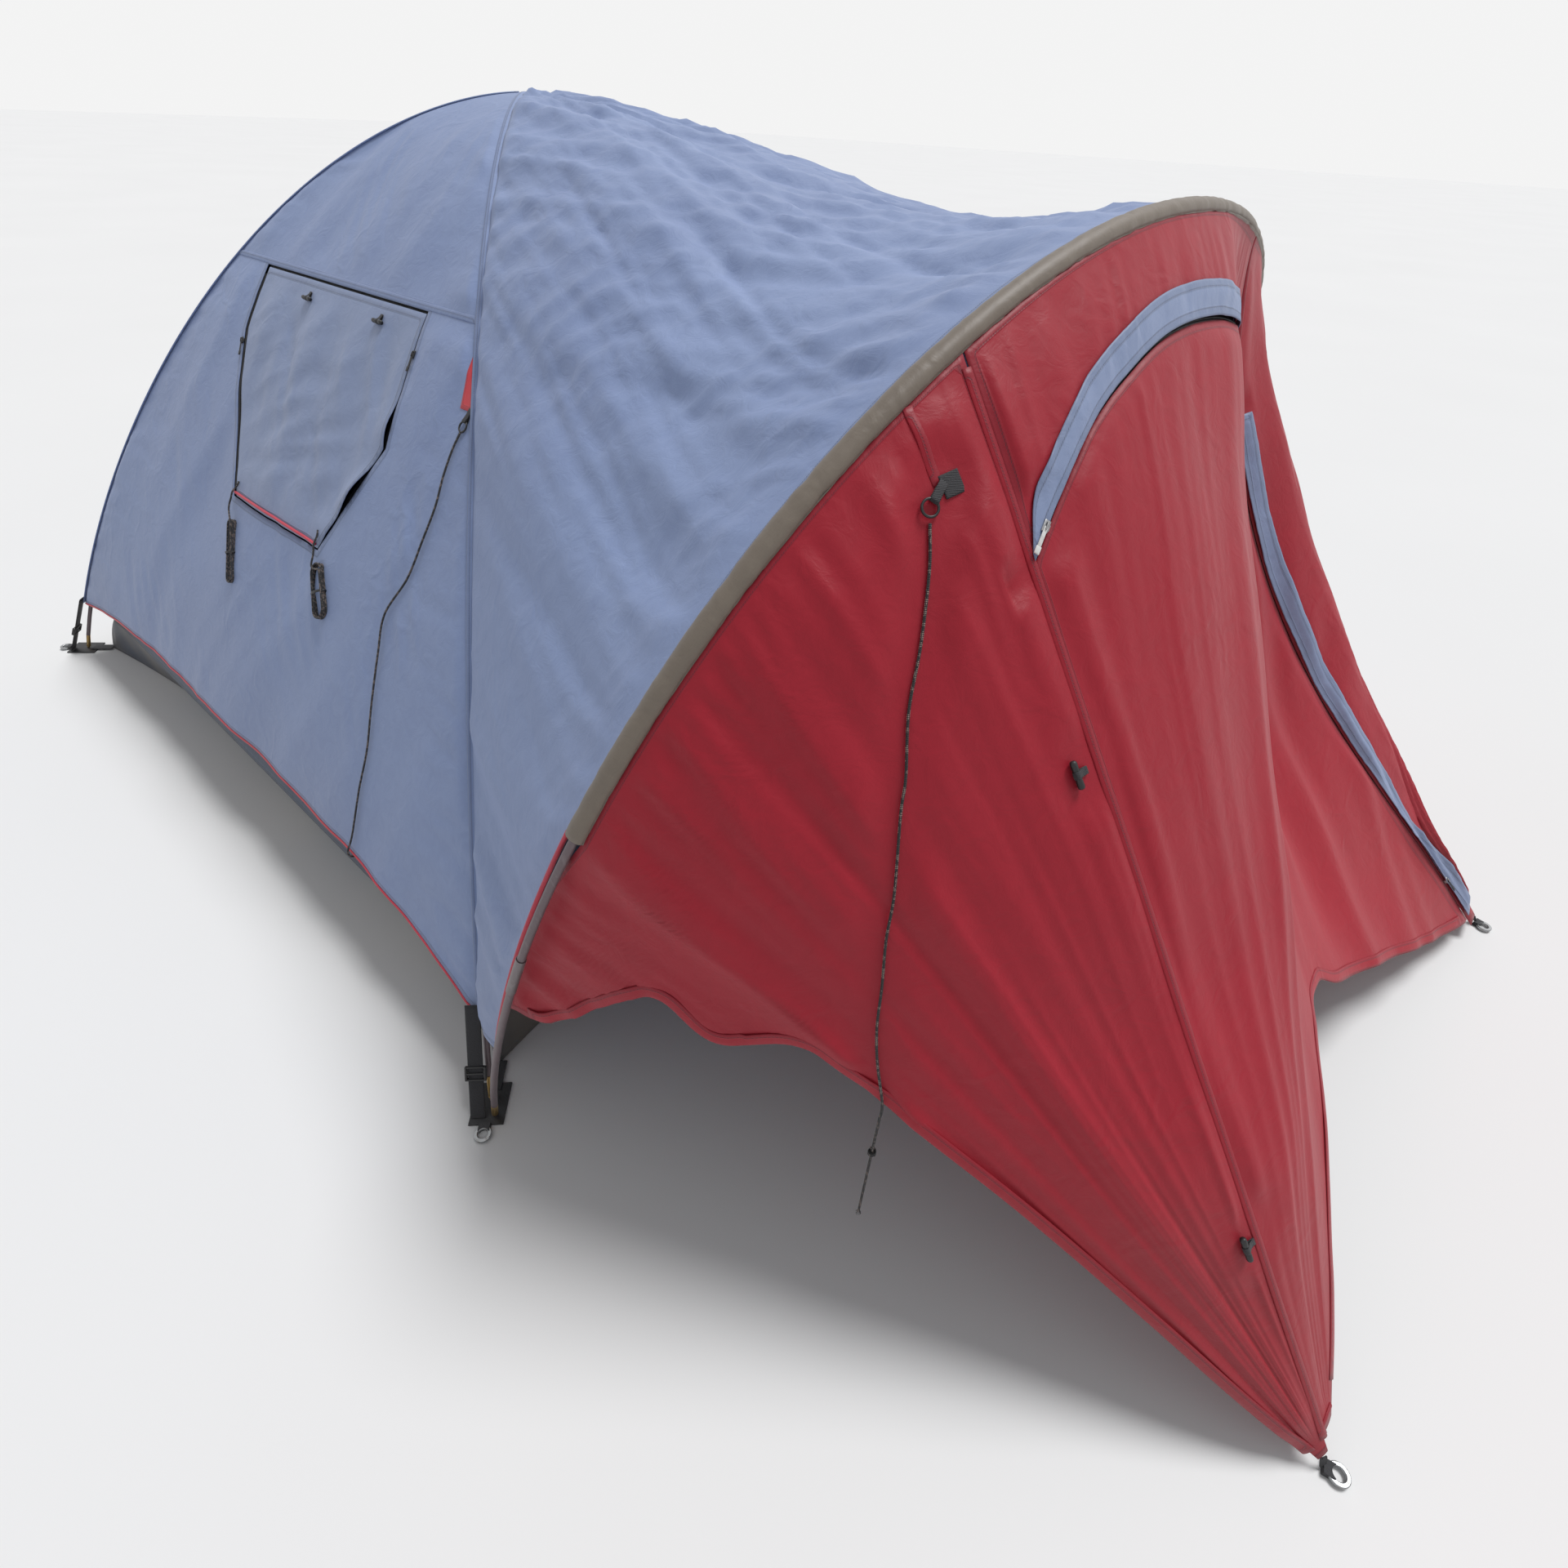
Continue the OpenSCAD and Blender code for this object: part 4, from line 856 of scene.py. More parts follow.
def roof_ripple(v, k):
    m, start, end = roof_ends(k)
    run = hoop_run(mix(HOOP_T0, 90, m)) * (1 if k < 0.5 else -1)
    long = (end - start).length
    top = ease((m - 0.35) / 0.4)
    along = v * long
    spread = along + 0.25 * run
    high = 0.009 * folds(run + 0.2 * along, spread, 51.0, 0.14, 0.9) * (1 - 0.4 * top)
    high += 0.006 * top * folds(run - 0.25 * along, spread, 52.3, 0.075, 0.6, 0.0012)
    high += 0.0035 * (0.3 + 0.7 * top) * folds(run + 0.5 * along, along, 53.9, 0.05, 0.4, 0.0008)
    high += 0.0028 * (0.3 + 0.7 * top) * folds(run - 0.7 * along, along, 56.1, 0.045, 0.35, 0.0008)
    high += 0.003 * math.exp(-(1 - v) * long / 0.08) * folds(run, along, 54.2, 0.03, 0.3)
    high += 0.007 * lumps(run, along, 55.0, 0.3)
    return high * ease(along / 0.03) * ease((1 - v) * long / 0.06)


roof_bm = surface(110, 320, roof, (1.1, 3.2), roof_ripple)
merge(roof_bm)
panel("fly_roof", roof_bm, "tent", "fly_blue", (1.2, 3.3), ["fly_roof_panel"])

# %% [markdown]
# ## The sleeve
# The hoop pole runs in a tan sleeve, a flat tube of tougher cloth that is sewn between the roof and the vestibule.
# It is a tube swept along the hoop with open ends. Small puckers cross it, because the curved seam gathers the
# straight cloth.

# %% The sleeve
def hoop_points(low, high, count):
    """Points on the hoop at even distances."""
    total, first = hoop_run(high) - hoop_run(low), hoop_run(low)
    points, t = [], low
    for i in range(count + 1):
        while t < high and hoop_run(t) < first + total * i / count:
            t += 0.02
        points.append(hoop(t))
    return points


sleeve_line = hoop_points(SLEEVE_T, 180 - SLEEVE_T, 330)


def sleeve_pucker(angle, s):
    run = s * 2.6
    return 1 + 0.07 * folds(run, angle * 0.004, 61.0, 0.03, 0.05) + 0.05 * lumps(run, angle * 0.01, 62.0, 0.07)


sleeve_bm = swept(sleeve_line, (0.0127, 0.0098), 20, HOOP_OUT, swell=sleeve_pucker, caps=False)
sleeve = finished("sleeve", sleeve_bm, "tent", "sleeve_tan")
thicken(sleeve, 0.0016)
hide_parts("hoop_sleeve")
print("sleeve", round(length_of(sleeve_line), 3), "m")


# %% [markdown]
# ## Seams and bindings
# A sewn seam is a narrow raised band with a row of stitches at each side. It is swept along the panels' shared
# edge, flat against the cloth, with the cloth's own outward direction at each point.

# %% Bands along the cloth
SEAM_LIFT = 0.0003


def lifted(points, outs, lift):
    return [p + o * lift for p, o in zip(points, outs)]


def band(name, points, outs, width, height, body, slot, lift=0.0, sides=10):
    bm = swept(lifted(points, outs, lift), (width / 2, height / 2), sides, outs=outs)
    return finished(name, bm, body, slot)


# %% The four edges of the dome
for name, side, right in (("near_front", 0, 1), ("near_rear", 0, 0), ("far_front", 2, 0), ("far_rear", 2, 1)):
    points = [fly_side(right, i / 200 * 0.985, side) for i in range(201)]
    outs = [(p - Vector((0, 0, 0.1))).normalized() for p in points]
    band("seam_" + name, points, outs, 0.016, 0.0036, "tent", "fly_blue", SEAM_LIFT)

# %% The seam over the window and the front hinge seam
reach = keep(1.0) * HALF - 0.008
row = [fly_share(x, 1.0055) for x in steps(lambda k: mix(-reach, reach, k), 120)]
points, outs = along_cloth(fly_side, side_ripple, [(min(0.999, max(0.001, u)), v) for u, v in row])
band("seam_window", points, outs, 0.012, 0.003, "tent", "fly_blue", SEAM_LIFT)
points, outs = along_cloth(near_place, near_ripple, steps(lambda k: (mix(0.012, 0.985, k), 0.9985), 200))
band("seam_hinge", points, outs, 0.012, 0.0036, "tent", "fly_red", SEAM_LIFT)
# a strip under the seam turns with the door, so that no slit opens beside it
turning = swept([p - o * 0.0014 for p, o in zip(points, outs)], (0.008, 0.0004), 16, outs=outs)
hinge_strip = finished("hinge_strip", turning, None, "fly_red")
down = (vest(HINGE_T, 0.9) - vest(HINGE_T, 0.1)).normalized()
over = (vest(HINGE_T + 2, 0.5) - vest(HINGE_T - 2, 0.5)).normalized()
over -= down * over.dot(down)
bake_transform(hinge_strip, "tent", "vestibule_door", vest(HINGE_T, 0.5) - over * 0.003, vest(HINGE_T, 0.5) + over * 0.003)

# %% The red binding of the hems
BINDING = 0.0025


def binding(name, points, outs):
    return finished(name, swept(points, (BINDING, BINDING * 1.3), 8, outs=outs), "tent", "piping_red")


for name, place, ripple in (("near", fly_side, side_ripple), ("far", far_side, far_ripple),
                            ("rear", rear_side, rear_ripple)):
    points, outs = along_cloth(place, ripple, steps(lambda k: (mix(0.004, 0.996, k), 0.0), 170))
    piece = binding("hem_binding_" + name, [p - Vector((0, 0, BINDING + 0.001)) for p in points], outs)
    if name == "near":
        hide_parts("fly_hem_piping")


# %% The red binding of the fly's front edges below the sleeve
bare_share = 0.5 * (SLEEVE_T - HOOP_T0) / (90 - HOOP_T0)
for name, first in (("near", 0.0), ("far", 1.0)):
    points, outs = along_cloth(roof, roof_ripple,
                               steps(lambda k: (0.999, abs(first - mix(0.002, bare_share, k))), 60))
    binding("front_binding_" + name, points, outs)


# %% The turned hems of the vestibule
def hem_band(name, place, ripple, first, last, body, slot, width=0.018, count=180):
    """A turned hem from the share first to the share last of a cloth."""
    path = steps(lambda k: tuple(mix(a, b, k) for a, b in zip(first, last)), count)
    points, outs = along_cloth(place, ripple, path)
    band(name, points, outs, width, 0.0028, body, slot, 0.0004)


hem_band("hem_near_wall", near_place, near_ripple, (0.03, 0.012), (0.985, 0.012), "tent", "fly_red")
hem_band("hem_far_wall", far_place, far_wall_ripple, (0.03, 0.988), (0.985, 0.988), "tent", "fly_red")
hem_band("hem_door_near", door_place, door_ripple, (0.991, 0.01), (0.991, NEAR_SHARE), "vestibule_door", "fly_red",
         0.008, 30)
hem_band("hem_door_front", door_place, door_ripple, (0.988, NEAR_SHARE + 0.004), (0.988, 0.99), "vestibule_door",
         "fly_red")
hem_band("hem_roof_near", roof, roof_ripple, (0.03, 0.002), (0.97, 0.002), "tent", "fly_blue", 0.014, 20)
hem_band("hem_roof_far", roof, roof_ripple, (0.03, 0.998), (0.97, 0.998), "tent", "fly_blue", 0.014, 20)

# %% [markdown]
# ## Storm flaps
# A storm flap is a strip of blue cloth that covers a zip. It is sewn along one edge only, so that its free edge
# curls and waves. Over the door's arch it is sewn above the zip. Down the front it is sewn to the far wall.


# %% The flap over the arch
def arch_flap_at(u, v):
    t = over_arch_t(v)
    taper = ease(v / 0.05 + 0.25) * ease((1 - v) / 0.04 + 0.35)
    return t, arch_u(t) - (0.002 + 0.044 * (1 - u) * taper) / vest_long(t)


def arch_flap(u, v):
    return vest(*arch_flap_at(u, v))


def arch_flap_ripple(u, v):
    t, share = arch_flap_at(u, v)
    under = max(vest_ripple(t + a, share) for a in (-0.4, 0.0, 0.4))
    return (under + 0.0026 + 0.003 * u * (0.5 + 0.9 * lumps(v, u * 0.04, 71.0, 0.09))
            + 0.0006 * folds(v + 0.3 * u * 0.04, u * 0.044, 72.0, 0.03, 0.08) * ease(u / 0.2))


arch_bm = surface(14, 240, arch_flap, (0.044, 1.0), arch_flap_ripple)
panel("storm_flap_over_arch", arch_bm, "tent", "flap_blue", (0.046, 1.05), ["storm_flap_arch"])


# %% The flap down the front
def on_far(u, w):
    edge = zip_t(u)
    start = vest(edge, u)
    return start + (vest(edge + 3, u) - start).normalized() * w


def side_flap_at(u, v):
    """The share of the way to the pegs, and how far the place is from the zip's edge in metres."""
    return mix(0.16, 0.95, u), mix(-0.001, 0.034, v)


def side_flap(u, v):
    return on_far(*side_flap_at(u, v))


def side_flap_ripple(u, v):
    loose = 1 - v
    share, beside = side_flap_at(u, v)
    edge = zip_t(share)
    turn = 3 * beside / (vest(edge + 3, share) - vest(edge, share)).length
    under = max(vest_ripple(edge + a * turn, share) for a in (0.8, 1.0, 1.2))
    return (under + 0.0034 + loose * (0.003 + 0.004 * lumps(u * 1.2, v * 0.03, 75.0, 0.12))
            + 0.0007 * folds(u * 1.2, v * 0.034, 76.0, 0.03, 0.08))


side_flap_bm = surface(260, 12, side_flap, (1.25, 0.036), side_flap_ripple)
panel("storm_flap_down_front", side_flap_bm, "tent", "flap_blue", (1.3, 0.037), ["storm_flap_side"])

# %% [markdown]
# ## Zips
# A coil zip is a black tape with a raised coil down its middle. The coil is swept with a swelling that repeats
# every 2.4 mm, which reads as teeth from close by and as a ribbed line from afar.

# %% Zip maker
TOOTH = 0.0024


def zip_run(name, points, outs, body, replaced=(), width=0.022):
    band(name + "_tape", points, outs, width, 0.0012, body, "zip_black", -0.0012)
    fine = smooth_route(points, TOOTH / 2)
    coil = swept(fine, (0.0022, 0.0016), 6, outs[0].orthogonal(),
                 swell=lambda _, s: 1 + 0.22 * (-1) ** round(s * (len(fine) - 1)))
    piece = finished(name + "_coil", coil, body, "zip_black")
    if replaced:
        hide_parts(*replaced)
    print(name, round(length_of(points), 3), "m of zip")


# %% The door's zips
ZIP_DEPTH = 0.0035
vest_place, vest_high = on_vest(lambda u, v: (v * 180, u))


def door_zip_run(name, path, replaced=()):
    """A zip under the vestibule's cloth. path(k) gives the hoop angle and the share of the way to the pegs."""
    shares = [(u, t / 180) for t, u in steps(path, 150)]
    points, outs = along_cloth(vest_place, vest_high, shares, 0.0015)
    zip_run(name, lifted(points, outs, -ZIP_DEPTH), outs, "tent", replaced)


def arch_zip(k):
    t = door_t(k)
    return t, arch_u(t) - 0.003 / vest_long(t)


def side_zip(k):
    u = mix(0.17, 0.94, k)
    return front_t(read_curve(u, ZIP) - 0.0015 / front_width(u)), u


door_zip_run("door_zip_arch", arch_zip, ["door_zip"])
door_zip_run("door_zip_side", side_zip)


# %% The window's zips and the red lower binding
def side_points_at(places, lift, ripple=side_ripple):
    points, outs = along_cloth(fly_side, ripple, [fly_share(x, z) for x, z in places])
    return lifted(points, outs, lift), outs


def edge_places(corners, shift, count=60):
    places = []
    for (x0, z0), (x1, z1) in zip(corners, corners[1:]):
        for i in range(count):
            places.append((mix(x0, x1, i / count) + shift, mix(z0, z1, i / count)))
    return places + [(corners[-1][0] + shift, corners[-1][1])]


for name, corners, shift, replaced in (
        ("left", [(-0.318, 0.985), (-0.305, 0.89), (-0.152, 0.634)], 0.0015, ["window_zips"]),
        ("right", [(0.321, 0.985), (0.36, 0.81), (0.243, 0.634)], -0.0015, [])):
    points, outs = side_points_at(edge_places(corners, shift), -0.003)
    zip_run("window_zip_" + name, points, outs, "tent", replaced, 0.03)
points, outs = side_points_at(steps(lambda k: (mix(-0.137, 0.227, k), 0.630), 60), BINDING + 0.0004, flap_ripple)
window_binding = finished("window_binding", swept(points, (BINDING * 1.2, BINDING), 8, outs=outs), "window_flap",
                          "piping_red")
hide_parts("window_piping")

# %% [markdown]
# ## The inner tent
# The inner tent is breathable nylon under the fly. Its walls hang slack between the clips, in broad soft folds. Its
# zipped door is part of its front wall and is cut from the same surface, as the window flap is.

# %% The walls of the inner tent
INNER, INNER_HIGH = 1.005, 1.255
INNER_T = pole_t(0.1206, INNER_HIGH)
INNER_UV, INNER_CUT = (2.0, 1.65), (2.05, 1.75)


def inner_row(v):
    """The height of a row of the inner tent, and half its width."""
    z = pole_z(mix(INNER_T, 90, v), INNER_HIGH)
    return z, keep(z, INNER_HIGH) * INNER


def inner_side(u, v, side=0):
    z, half = inner_row(v)
    return turned(((2 * u - 1) * half, -half, z), side)


def inner_ripple(u, v, seed=81.0):
    z, half = inner_row(v)
    x = (2 * u - 1) * half
    seam = 2 * min(u, 1 - u) * half
    high = 0.008 * folds(x, z, seed, 0.14, 0.8) + 0.008 * lumps(x, z, seed + 2, 0.25) - 0.006
    sill = 0.1 + 0.9 * ease(abs(z - 0.176) / 0.05)
    return high * sill * ease(seam / 0.06) * ease((1.25 - z) / 0.08) * ease(v / 0.05)


for name, side in (("near", 0), ("far", 2), ("rear", 3)):
    bm = surface(90, 70, lambda u, v: inner_side(u, v, side), INNER_UV,
                 lambda u, v: inner_ripple(u, v, 81.0 + 5 * side))
    merge(bm)
    panel("inner_" + name, bm, "tent", "inner_blue", INNER_CUT, ["inner_wall_" + name])


# %% The inner front wall and its door
DOOR_HALF, DOOR_SILL, DOOR_SPRING, DOOR_RISE = 0.52, 0.175, 0.52, 0.34


def arc(half, rise, angles):
    """Places y, z on the door's arch, which springs at DOOR_SPRING."""
    return [(half * cos_d(a), DOOR_SPRING + rise * math.sin(math.radians(a))) for a in angles]


def door_planes(grow):
    """A point and the outward way of each edge of the door's outline, which is moved out by grow."""
    corners = [(-DOOR_HALF - grow, DOOR_SILL - grow), (DOOR_HALF + grow, DOOR_SILL - grow)]
    corners += arc(DOOR_HALF + grow, DOOR_RISE + grow, range(0, 181, 15))
    for (y0, z0), (y1, z1) in zip(corners, corners[1:] + corners[:1]):
        yield Vector((0, y0, z0)), Vector((0, z1 - z0, y0 - y1)).normalized()


def door_gap_at(p):
    return max((p - point).dot(out) for point, out in door_planes(0))


def inner_front(u, v):
    return inner_side(u, v, 1)


front_bm = surface(110, 90, inner_front, INNER_UV, inner_ripple)
cut_hole(front_bm, door_planes(0), door_gap_at, 0.04)
merge(front_bm)
panel("inner_front_wall", front_bm, "tent", "inner_blue", INNER_CUT, ["inner_wall_front"])
inner_door_bm = surface(110, 90, inner_front, INNER_UV, inner_ripple)
trim(inner_door_bm, door_planes(-0.003))
panel("inner_door_leaf", inner_door_bm, "inner_door", "inner_blue", (1.08, 0.9), ["inner_door"])

# %% The zip of the inner door
ZIP_HALF, ZIP_RISE = 0.5185, 0.3385
zip_places = [(-ZIP_HALF, z) for z in (0.19, 0.35, DOOR_SPRING)]
zip_places += arc(-ZIP_HALF, ZIP_RISE, range(6, 175, 6))
zip_places += [(ZIP_HALF, z) for z in (DOOR_SPRING, 0.35, 0.19)]


def inner_share(y, z):
    t = pole_t(z, INNER_HIGH)
    return (y / (keep(z, INNER_HIGH) * INNER) + 1) / 2, (t - INNER_T) / (90 - INNER_T)


points, outs = along_cloth(inner_front, inner_ripple, [inner_share(y, z) for y, z in zip_places])
line = smooth_route(lifted(points, outs, -0.003), 0.02)
zip_run("inner_door_zip", line, [(p - Vector((0.2, p.y, 0.3))).normalized() for p in line], "tent")

# %% [markdown]
# ## The groundsheet
# The floor is a coated tub. A flat grid is bowed in at its sides, and its border is pulled up in steps to the
# height where the inner walls are sewn to it, so that floor and walls are one sheet without a seam on the ground.

# %% The tub
FLOOR, FLOOR_BOW, TUB, TUB_STEPS = 0.99, 0.095, 0.12, 8
tub_top = INNER * keep(TUB, INNER_HIGH)
tub_bm = bmesh.new()
bmesh.ops.create_grid(tub_bm, x_segments=80, y_segments=80, size=0.5)
threads = tub_bm.loops.layers.uv.new("cloth")
for vert in tub_bm.verts:
    a, b = 2 * vert.co.x, 2 * vert.co.y
    vert.co = (a * (FLOOR - FLOOR_BOW * (1 - b * b)), b * (FLOOR - FLOOR_BOW * (1 - a * a)),
               0.0012 + 0.004 * (1 - max(abs(a), abs(b)) ** 8) * max(0.0, folds(a, b, 91.0, 0.12, 0.4)))
edges = [e for e in tub_bm.edges if e.is_boundary]
for step in range(TUB_STEPS):
    made = bmesh.ops.extrude_edge_only(tub_bm, edges=edges)["geom"]
    edges = [e for e in made if isinstance(e, bmesh.types.BMEdge) and e.is_boundary]
    for vert in {v for e in edges for v in e.verts}:
        x, y = vert.co.x, vert.co.y
        across, along = (x, y) if abs(x) > abs(y) else (y, x)
        goal = [math.copysign(tub_top, across), along * tub_top / FLOOR if abs(along) < FLOOR else along]
        goal = Vector((goal[0], goal[1], TUB)) if abs(x) > abs(y) else Vector((goal[1], goal[0], TUB))
        vert.co = vert.co.lerp(goal, 1 / (TUB_STEPS - step))
bmesh.ops.recalc_face_normals(tub_bm, faces=tub_bm.faces)
if sum(f.normal.z * f.calc_area() for f in tub_bm.faces) > 0:
    bmesh.ops.reverse_faces(tub_bm, faces=tub_bm.faces)
for face in tub_bm.faces:
    for loop in face.loops:
        loop[threads].uv = (loop.vert.co.x + 0.7 * loop.vert.co.z, loop.vert.co.y + 0.7 * loop.vert.co.z)
panel("groundsheet_tub", tub_bm, "tent", "floor_blue", (2.2, 2.2), ["groundsheet"])

# %% [markdown]
# ## The window's cords
# The flap's two cords are wound into hanks that hang below the sill. One path goes down from the sill, then round
# and round in the shape of a stadium, each turn a cord's thickness nearer to the cloth, so that no turn touches
# another. A short elastic loop holds the hank together.

# %% Wind a hank
def near_out(z):
    a, b = fly_side(0.5, pole_v(z - 0.01)), fly_side(0.5, pole_v(z + 0.01))
    return Vector((1, 0, 0)).cross((b - a).normalized())


def pole_v(z):
    return fly_share(0.0, z)[1]


def wound(lead, top, bottom, radius, turns):
    """The lead's points, then turns around a stadium between top and bottom (x and z), nearing the cloth."""
    mid = near_out((top[1] + bottom[1]) / 2)
    a, b = (fly_side(*fly_share(x, z)) for x, z in (top, bottom))
    down = (b - a).normalized()
    side = mid.cross(down).normalized()
    straight = (b - a).length
    lap = 2 * straight + 2 * math.pi * radius
    points = list(lead)
    steps = round(turns * lap / 0.006)
    for i in range(steps + 1):
        way = i / steps * turns * lap
        lift = mid * (0.0135 - 0.0038 * way / lap)
        s = way % lap
        if s < straight:
            flat = a + side * radius + down * s
        elif s < straight + math.pi * radius:
            k = (s - straight) / radius
            flat = b + side * (radius * math.cos(k)) + down * (radius * math.sin(k))
        elif s < 2 * straight + math.pi * radius:
            flat = b - side * radius - down * (s - straight - math.pi * radius)
        else:
            k = (s - 2 * straight - math.pi * radius) / radius
            flat = a - side * (radius * math.cos(k)) - down * (radius * math.sin(k))
        points.append(flat + lift)
    centre = (a + b) / 2 + mid * 0.0075
    return points, centre, mid, side, down


def hank_cord(name, lead, top, bottom, radius, node):
    points, centre, mid, side, down = wound([Vector(p) for p in lead], top, bottom, radius, 4)
    tie_line = []
    for i in range(41):
        k = 2 * math.pi * i / 40
        around = side * ((radius + 0.0036) * math.cos(k)) + mid * (0.0092 * math.sin(k))
        tie_line.append(centre + around + down * 0.004)
    tie_bm = swept(tie_line, (0.0022, 0.0008), 8, outs=[(p - centre).normalized() for p in tie_line], caps=False)
    tie = finished(name + "_tie", tie_bm, "window_flap", "black_plastic")
    cord(name, points, "window_flap", node, points[0])


LEFT_LEAD = [(-0.133, -0.7392, 0.6513), (-0.134, -0.7467, 0.6421), (-0.135, -0.7571, 0.6347),
             (-0.135, -0.7645, 0.6227), (-0.1325, -0.7765, 0.6045)]
hank_cord("window_cord_left_hank", LEFT_LEAD, (-0.110, 0.575), (-0.067, 0.488), 0.0106, "window_cord_left")
RIGHT_LEAD = [(0.223, -0.7380, 0.6533), (0.228, -0.7455, 0.6441), (0.234, -0.7571, 0.6347),
              (0.2405, -0.7655, 0.6205), (0.2470, -0.7785, 0.6010)]
hank_cord("window_cord_right_hank", RIGHT_LEAD, (0.2695, 0.5929), (0.3075, 0.5431), 0.0172, "window_cord_right")

# %% The knot and the frayed end of the vestibule's cord
KNOT = Vector((1.625, -0.816, 0.300))
turns = [KNOT + Vector((0.0036 * math.cos(k * 0.35), 0.0036 * math.sin(k * 0.35), -0.0045 + 0.009 * k / 44))
         for k in range(45)]
finished("vestibule_knot", swept(turns, (CORD / 2, CORD / 2), 8), "tent", "cord_black")
frayed = bmesh.new()
for i in range(9):
    lean = Vector((math.cos(i * 2.4), math.sin(i * 2.4), 0))
    strand = [Vector((1.625, -0.816, 0.142)) + lean * (0.0009 + 0.0028 * k * k) - Vector((0, 0, 0.0016 + 0.014 * k))
              for k in (0, 0.25, 0.5, 0.75, 1)]
    made = bpy.data.meshes.new("strand")
    swept(strand, (0.0004, 0.0004), 5, lean.orthogonal()).to_mesh(made)
    frayed.from_mesh(made)
    bpy.data.meshes.remove(made)
finished("frayed_end", frayed, "tent", "cord_black")

# %% [markdown]
# ## Webbing, patches and guy points
# Straps are flat woven bands, swept along their own lines, so that the weave follows them. Loads meet the cloth at
# patches that are sewn on over the panel, and they follow its ripples.

# %% Webbing loops and rings
RING, WIRE = 0.009, 0.0015


def mirrored(point, far):
    return Vector((point.x, -point.y if far else point.y, point.z))


def guy_loop(name, origin, out, run):
    """A folded webbing loop from the cloth around a ring's wire and back. run points down the pull."""
    centre = origin + run * 0.012 + out * 0.0033
    line = [origin - run * 0.010 + out * 0.0009, origin + out * 0.0010, origin + run * 0.008 + out * 0.0011]
    outs = [-out] * 3
    for i in range(9):
        k = math.pi * (-0.5 + i / 8)
        radial = run * math.cos(k) + out * math.sin(k)
        line.append(centre + radial * 0.0027)
        outs.append(radial)
    line += [origin + run * 0.008 + out * 0.0048, origin + out * 0.0030, origin - run * 0.010 + out * 0.0024]
    outs += [out] * 3
    band(name, line, outs, 0.010, 0.0011, "tent", "webbing_black")


def spun(bm, geom, axis, count):
    """Turns the geometry all the way round an axis through the origin, and closes it."""
    bmesh.ops.spin(bm, geom=geom, cent=(0, 0, 0), axis=axis, angle=2 * math.pi, steps=count, use_merge=True,
                   use_duplicate=False)
    merge(bm, 1e-6)
    bmesh.ops.recalc_face_normals(bm, faces=bm.faces)


def ring(name, origin, out, run):
    """A guy point's ring, held in its loop and lying along the cloth."""
    bm = bmesh.new()
    bmesh.ops.create_circle(bm, segments=16, radius=WIRE)
    bmesh.ops.rotate(bm, verts=bm.verts, cent=(0, 0, 0), matrix=Matrix.Rotation(math.pi / 2, 3, "X"))
    bmesh.ops.translate(bm, verts=bm.verts, vec=(RING, 0, 0))
    spun(bm, bm.verts[:] + bm.edges[:], (0, 0, 1), 48)
    place = Matrix.Translation(origin + run * 0.021 + out * 0.0033)
    bmesh.ops.transform(bm, verts=bm.verts, matrix=place @ out.to_track_quat("Z", "Y").to_matrix().to_4x4())
    finished(name, bm, "tent", "black_plastic")


# %% The red triangles, the loops and the rings of the side guys
PATCH_LOW, PATCH_HIGH = 0.898, 0.973


def side_patch(u, v):
    z = mix(PATCH_LOW, PATCH_HIGH, v)
    x = keep(z) * HALF - 0.004 - (PATCH_HIGH + 0.001 - z) * 0.5 * (1 - u)
    p, out = cloth_point(fly_side, side_ripple, *fly_share(x, z))
    return p + out * 0.0012


for name, far in (("near", False), ("far", True)):
    patch_bm = surface(12, 18, lambda u, v: mirrored(side_patch(1 - u if far else u, v), far), (0.038, 0.071))
    thicken(finished("side_patch_" + name, patch_bm, "tent", "patch_red"), 0.001)
    out = near_out(GUY[1])
    run = Vector((1, 0, 0)).cross(out).normalized()
    run = run if run.z < 0 else -run
    origin, out, run = (mirrored(p, far) for p in (fly_side(*fly_share(*GUY)), out, run))
    guy_loop("side_loop_" + name, origin, out, run)
    ring("side_ring_" + name, origin, out, run)
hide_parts("side_guy_patches")
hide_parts("side_guy_tabs")
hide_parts("side_guy_rings")

# %% The guy points of the vestibule
for name, far in (("near", False), ("far", True)):
    t = 180 - VEST_GUY_T if far else VEST_GUY_T
    first = vest(t, 0)
    run = (vest(t, U_END / 8) - first)
    across = vest(t + 2, 0) - vest(t - 2, 0)
    out = run.cross(across).normalized()
    origin = first + run * (VEST_GUY_U * 8 / U_END)
    away = out.cross(run).normalized() * (1 if far else -1)
    pull = Matrix.Rotation(math.radians(-35 if far else 35), 3, out) @ away
    along = run.normalized()

    def square(u, v):
        return origin - away * mix(0.025, 0.0025, u) + along * mix(-0.012, 0.012, v) + out * 0.0016

    square_bm = surface(10, 10, square, (0.0225, 0.024))
    bmesh.ops.recalc_face_normals(square_bm, faces=square_bm.faces)
    if square_bm.faces[:][0].normal.dot(out) < 0:
        bmesh.ops.reverse_faces(square_bm, faces=square_bm.faces)
    thicken(finished("vestibule_patch_" + name, square_bm, "tent", "webbing_black"), 0.0012)
    start = origin + pull * 0.0015
    guy_loop("vestibule_loop_" + name, start, out, pull)
    ring("vestibule_ring_" + name, start, out, pull)
    points, outs = along_cloth(vest_place, vest_high, steps(lambda k: (mix(0.002, 0.06, k), t / 180), 12))
    band("guy_seam_" + name, points, outs, 0.012, 0.0026, "tent", "fly_red", 0.0002)
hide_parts("vestibule_guy_patches")
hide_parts("vestibule_guy_tabs")
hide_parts("vestibule_guy_rings")

